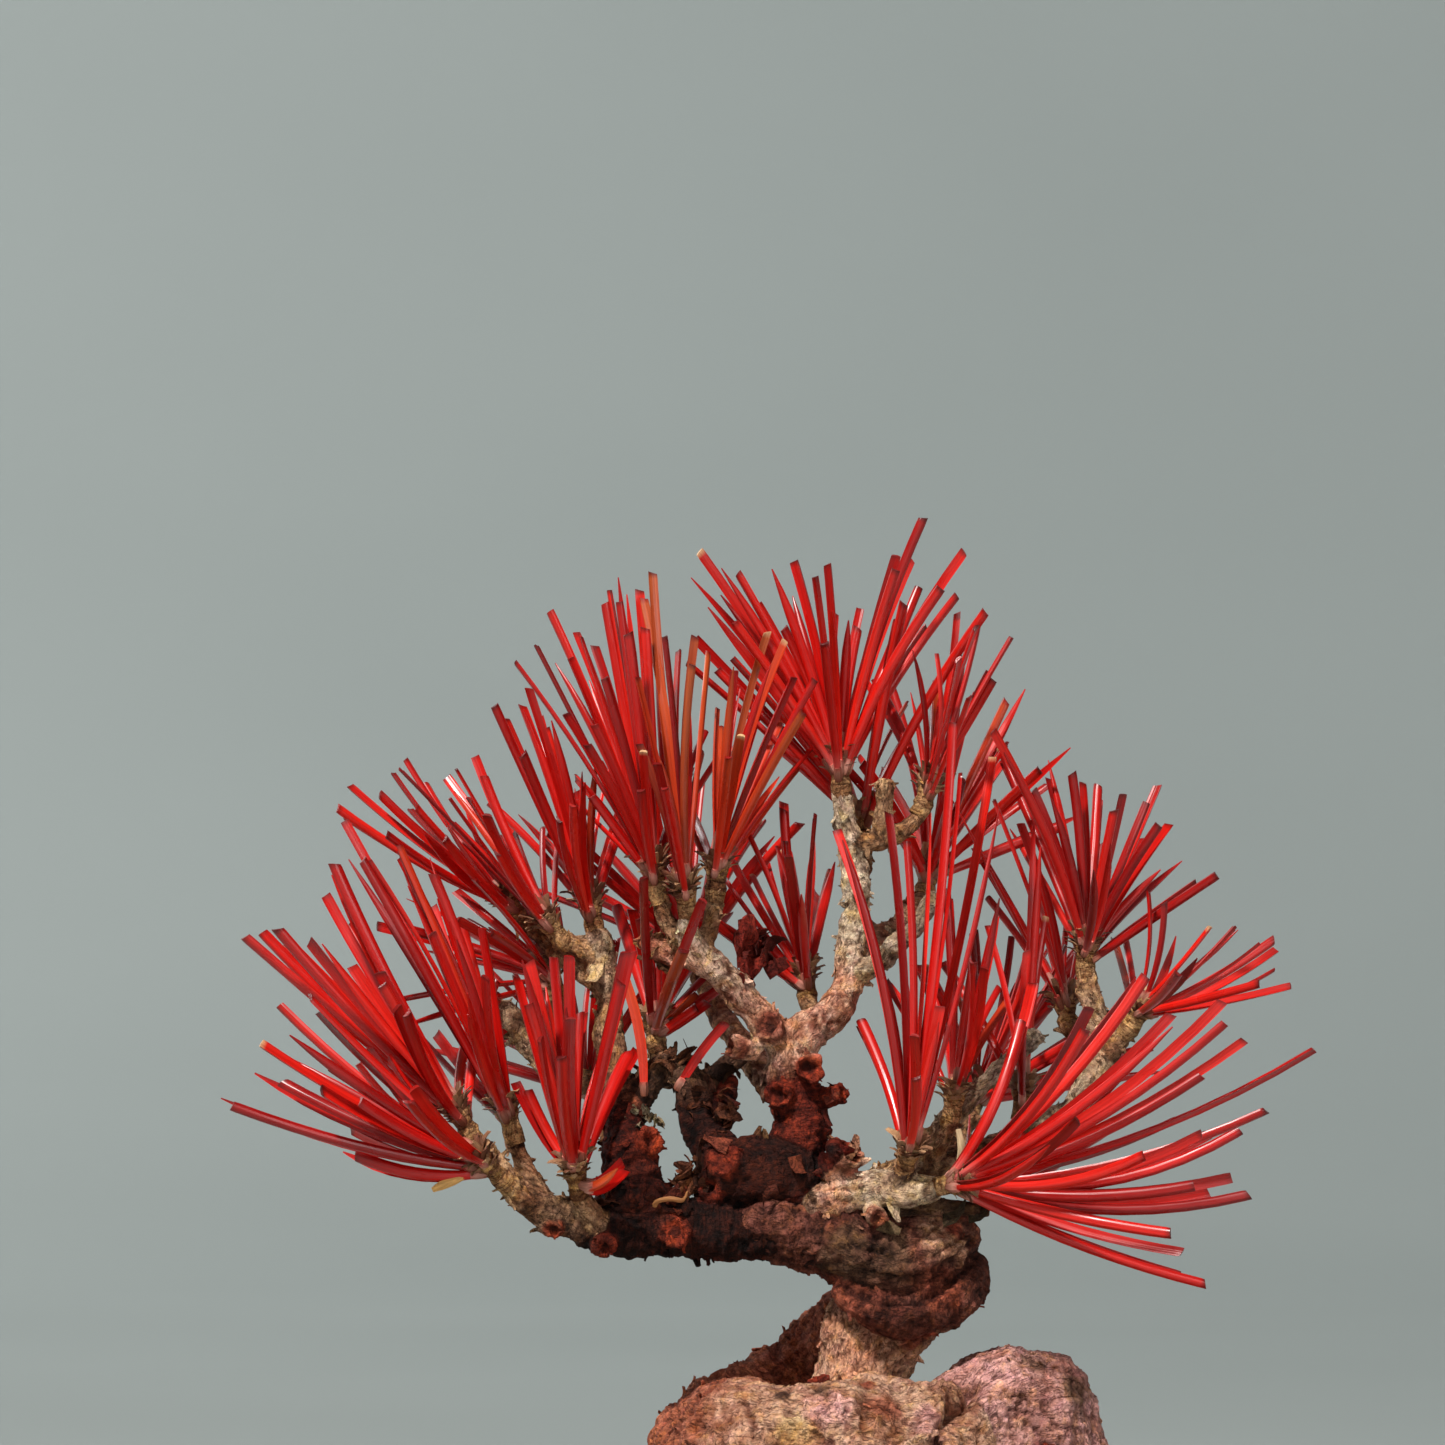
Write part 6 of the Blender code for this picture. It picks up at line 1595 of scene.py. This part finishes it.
def rounded_outline(length, depth, corner, z, segments):
    """A flat face with round corners."""
    shape = bmesh.new()
    flat = Matrix.LocRotScale(Vector((0, 0, z)), None, Vector((length, depth, 1)))
    bmesh.ops.create_grid(shape, x_segments=1, y_segments=1, size=0.5, matrix=flat)
    bmesh.ops.bevel(
        shape, geom=shape.verts[:], affect="VERTICES", offset=corner, segments=segments, profile=0.5,
        material=-1, offset_type="OFFSET")
    return shape, shape.faces[:][0]


def pull(shape, face, rise, scale=1.0, out=0.0):
    """Extrudes a face upwards and widens it by a scale and by a distance on every side."""
    face = extruded(shape, face)
    bmesh.ops.translate(shape, vec=(0, 0, rise), verts=face.verts)
    wide = max(abs(v.co.x) for v in face.verts)
    deep = max(abs(v.co.y) for v in face.verts)
    stretch = (scale * (wide + out) / wide, scale * (deep + out) / deep, 1)
    bmesh.ops.scale(shape, vec=stretch, verts=face.verts)
    return face


def rounded_edges(shape, angle, offset):
    """Rolls over the edges that are sharper than the angle."""
    bmesh.ops.recalc_face_normals(shape, faces=shape.faces)
    sharp = [edge for edge in shape.edges if edge.calc_face_angle(0) > math.radians(angle)]
    bmesh.ops.bevel(
        shape, geom=sharp, affect="EDGES", offset=offset, segments=3, profile=0.5, material=-1,
        clamp_overlap=True)


def plain_object(name, shape):
    bmesh.ops.recalc_face_normals(shape, faces=shape.faces)
    resize(shape, MM)
    return object_of(name, mesh_of(name, shape))


def build_pot(material):
    """The pot with a rolled lip, feet with soft edges and two drain holes."""
    low_length = POT_LENGTH * POT_TAPER
    low_depth = POT_DEPTH * POT_TAPER
    shape, face = rounded_outline(low_length, low_depth, POT_CORNER * POT_TAPER, FOOT_HEIGHT, CORNER_STEPS)
    rise = POT_HEIGHT - FOOT_HEIGHT - LIP_HEIGHT
    for _ in range(4):
        wide = 2 * max(v.co.x for v in face.verts)
        face = pull(shape, face, rise / 4, (wide + low_length * (1 / POT_TAPER - 1) / 4) / wide)
    face = pull(shape, face, LIP_SLOPE, out=LIP_OUT)
    face = pull(shape, face, LIP_HEIGHT - LIP_SLOPE)
    face = pull(shape, face, 0.0, out=-WALL - LIP_OUT)
    pull(shape, face, FOOT_HEIGHT + FLOOR - POT_HEIGHT, POT_TAPER)
    rounded_edges(shape, 40, 0.7)
    body = plain_object("body", shape)
    feet = []
    for x in (-1, 1):
        for y in (-1, 1):
            foot, face = rounded_outline(FOOT_SIZE, FOOT_SIZE, FOOT_CORNER, 0, 6)
            pull(foot, face, FOOT_HEIGHT + FOOT_SUNK, FOOT_SPREAD)
            rounded_edges(foot, 60, 0.5)
            shift = (x * (low_length / 2 - FOOT_INSET), y * (low_depth / 2 - FOOT_INSET), 0)
            bmesh.ops.translate(foot, vec=shift, verts=foot.verts)
            feet.append(plain_object("foot", foot))
    body = combined(body, feet, "UNION")
    drills = []
    for x in (-DRAIN_OFFSET, DRAIN_OFFSET):
        shape = bmesh.new()
        middle = Vector((x, 0, FOOT_HEIGHT + FLOOR / 2))
        bmesh.ops.create_cone(
            shape, cap_ends=True, segments=40, radius1=DRAIN_RADIUS, radius2=DRAIN_RADIUS, depth=2 * FLOOR,
            matrix=Matrix.Translation(middle))
        drills.append(plain_object("drill", shape))
    body = combined(body, drills, "DIFFERENCE")
    shape = bmesh.new()
    shape.from_mesh(body.data)
    bpy.data.objects.remove(body, do_unlink=True)
    resize(shape, PER_METRE)
    pot = make_piece("clay_pot", shape, material, 35)
    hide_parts("pot")


def combined(thing, others, operation):
    """One Boolean of a collection with the thing, applied, and the collection's objects removed."""
    group = bpy.data.collections.new(thing.name + "_operands")
    bpy.context.scene.collection.children.link(group)
    for other in others:
        group.objects.link(other)
    step = thing.modifiers.new("combine", "BOOLEAN")
    step.operation = operation
    step.operand_type = "COLLECTION"
    step.collection = group
    step.solver = "EXACT"
    thing.data = evaluated_mesh(thing)
    thing.modifiers.clear()
    for other in others:
        bpy.data.objects.remove(other, do_unlink=True)
    bpy.data.collections.remove(group)
    return thing


def soil_height(x, y):
    """The heap: highest at the foot of the trunk and falling away to the pot's edge."""
    edge = POT_HEIGHT - SOIL_EDGE_BELOW_RIM
    away = math.hypot((x - HEAP_X) / HEAP_WIDE, (y - HEAP_Y) / HEAP_DEEP)
    return edge + (SOIL_PEAK - edge) * math.exp(-away ** 2)


GRANULES = ((168, 116, 72), (148, 98, 60), (186, 140, 96), (120, 80, 54), (92, 66, 50), (206, 188, 162), (62, 50, 44))


def build_granules(material):
    """Granules laid over the heap, none inside the wood."""
    dice = random.Random(SEED + 2)
    meshes = []
    for _ in range(6):
        shape = bmesh.new()
        add_layers(shape)
        bmesh.ops.create_icosphere(shape, subdivisions=1, radius=1)
        for v in shape.verts:
            v.co *= dice.uniform(0.75, 1.2)
        meshes.append(mesh_of("granule", shape))
    wood = [(place, radius) for name in UNDERGROUND for place, radius in smooth_stations(LIMBS[name][2], 1.5)
            if place.z < SOIL_PEAK + 4]
    half_x = POT_LENGTH / 2 - WALL - GRANULE_EDGE
    half_y = POT_DEPTH / 2 - WALL - GRANULE_EDGE
    corner = POT_CORNER - GRANULE_CORNER
    spots = []
    for layer in (0, 1):
        for i in range(int(2 * half_x / GRANULE_PITCH)):
            for j in range(int(2 * half_y / GRANULE_PITCH)):
                x = -half_x + (i + dice.uniform(0, 1)) * GRANULE_PITCH
                y = -half_y + (j + dice.uniform(0, 1)) * GRANULE_PITCH
                past_x = max(0, abs(x) - half_x + corner)
                past_y = max(0, abs(y) - half_y + corner)
                size = dice.uniform(0.5, 1.05) if layer else dice.uniform(0.75, 1.3)
                if layer and dice.random() < 0.45:
                    continue
                if math.hypot(past_x, past_y) > corner - size:
                    continue
                place = Vector((x, y, soil_height(x, y) + 0.25 + 0.6 * layer))
                if any((place - spot).length < radius * 0.97 for spot, radius in wood):
                    continue
                turn = Euler([dice.uniform(0, FULL_TURN) for _ in range(3)]).to_quaternion()
                shape = Vector((size, size * dice.uniform(0.7, 1), size * dice.uniform(0.6, 1)))
                colour = linear(dice.choice(GRANULES[:5] * 3 + GRANULES))
                spots.append((dice.randrange(60), Matrix.LocRotScale(place, turn, shape), colour))
    piece = make_piece("granules", copies(meshes, spots), material, 30)


# Setting ----------------------------------------------------------------------

def build_stage(material):
    """A round pale floor that rises smoothly into a far wall."""
    shape = bmesh.new()
    profile = [(0.0, 0.0), (0.6, 0.0), (1.3, 0.0)]
    for i in range(1, 13):
        angle = math.pi / 2 * i / 12
        profile.append((1.3 + 1.1 * math.sin(angle), 1.1 - 1.1 * math.cos(angle)))
    profile.append((2.4, 2.6))
    previous = None
    for x, z in profile:
        v = shape.verts.new((x, 0, z))
        if previous:
            shape.edges.new((previous, v))
        previous = v
    bmesh.ops.spin(
        shape, geom=shape.verts[:] + shape.edges[:], cent=(0, 0, 0), axis=(0, 0, 1), dvec=(0, 0, 0),
        angle=2 * math.pi, steps=72, use_merge=True, use_duplicate=False)
    bmesh.ops.remove_doubles(shape, verts=shape.verts, dist=1e-5)
    bmesh.ops.recalc_face_normals(shape, faces=shape.faces)
    bmesh.ops.reverse_faces(shape, faces=shape.faces)
    mesh = mesh_of("floor", shape)
    mesh.materials.append(material)
    mesh.shade_smooth()
    floor = object_of("floor", mesh)


def area_light(name, place, target, size, power, colour=(1, 1, 1)):
    lamp = bpy.data.lights.new(name, "AREA")
    lamp.shape = "DISK"
    lamp.size = size
    lamp.energy = power
    lamp.color = colour
    thing = object_of(name, lamp)
    thing.location = place
    thing.rotation_euler = (Vector(target) - Vector(place)).to_track_quat("-Z", "Y").to_euler()


def build_lights():
    world = bpy.data.worlds.new("studio")
    world.use_nodes = True
    world.node_tree.nodes["Background"].inputs["Color"].default_value = (0.84, 0.88, 0.9, 1)
    world.node_tree.nodes["Background"].inputs["Strength"].default_value = 0.14
    bpy.context.scene.world = world
    target = (0, 0, 0.1)
    area_light("key", (-0.42, -0.85, 1.25), target, 0.16, 30, (1.0, 0.975, 0.94))
    area_light("soft", (-0.5, -1.2, 0.6), target, 0.8, 1.0)
    area_light("fill", (0.55, -1.15, 0.35), target, 0.7, 4.0)
    area_light("wash", (-1.45, 1.3, 1.3), (-0.3, 2.4, 0.2), 0.8, 28)


def build_camera():
    eye = bpy.data.cameras.new("camera")
    eye.sensor_width = SENSOR
    eye.lens = SENSOR * EYE_AWAY / VIEW_WIDTH
    eye.clip_start = 0.05
    eye.clip_end = 20
    camera = object_of("camera", eye)
    camera.location = (-0.0053, -EYE_AWAY, 0.132)
    camera.rotation_euler = (math.pi / 2, 0, 0)
    bpy.context.scene.camera = camera


def main():
    clear_default_scene()
    build_camera()
    build_lights()
    finishes = {"bark": bark_finish(), "needle": needle_finish(), "paper": paper_finish(), "clay": clay_finish(),
                "soil": soil_finish(), "granule": granule_finish(), "screen": screen_finish()}
    build_stage(backdrop_finish())
    branch_limbs = [name for name in LIMBS if name not in TRUNK_LIMBS]
    trunk = fused([limb_shape(name) for name in TRUNK_LIMBS], TRUNK_GRID)
    piece, *trunk_skin = carve_bark(trunk, TRUNK_LIMBS, "trunk", finishes["bark"], GROOVES)
    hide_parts("trunk_and_branches")
    branches = fused([limb_shape(name) for name in branch_limbs] + [scar_shape(*scar) for scar in SCARS], BRANCH_GRID)
    _, *branch_skin = carve_bark(branches, branch_limbs, "branches", finishes["bark"])
    dice = random.Random(SEED + 3)
    build_flakes([(*trunk_skin, 240, 1.3), (*branch_skin, 1100, 1.05)], dice, finishes["bark"])
    build_shards(dice, finishes["bark"])
    build_sticks(finishes["paper"])
    build_sprays(add_twins(settle(plan_needles())), finishes)
    build_pot(finishes["clay"])
    build_granules(finishes["granule"])
    for name, finish in (("soil", "soil"), ("drain_screen_left", "screen"), ("drain_screen_right", "screen")):
        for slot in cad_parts[name].material_slots:
            slot.material = finishes[finish]
    bpy.context.scene.view_settings.view_transform = "Standard"


main()
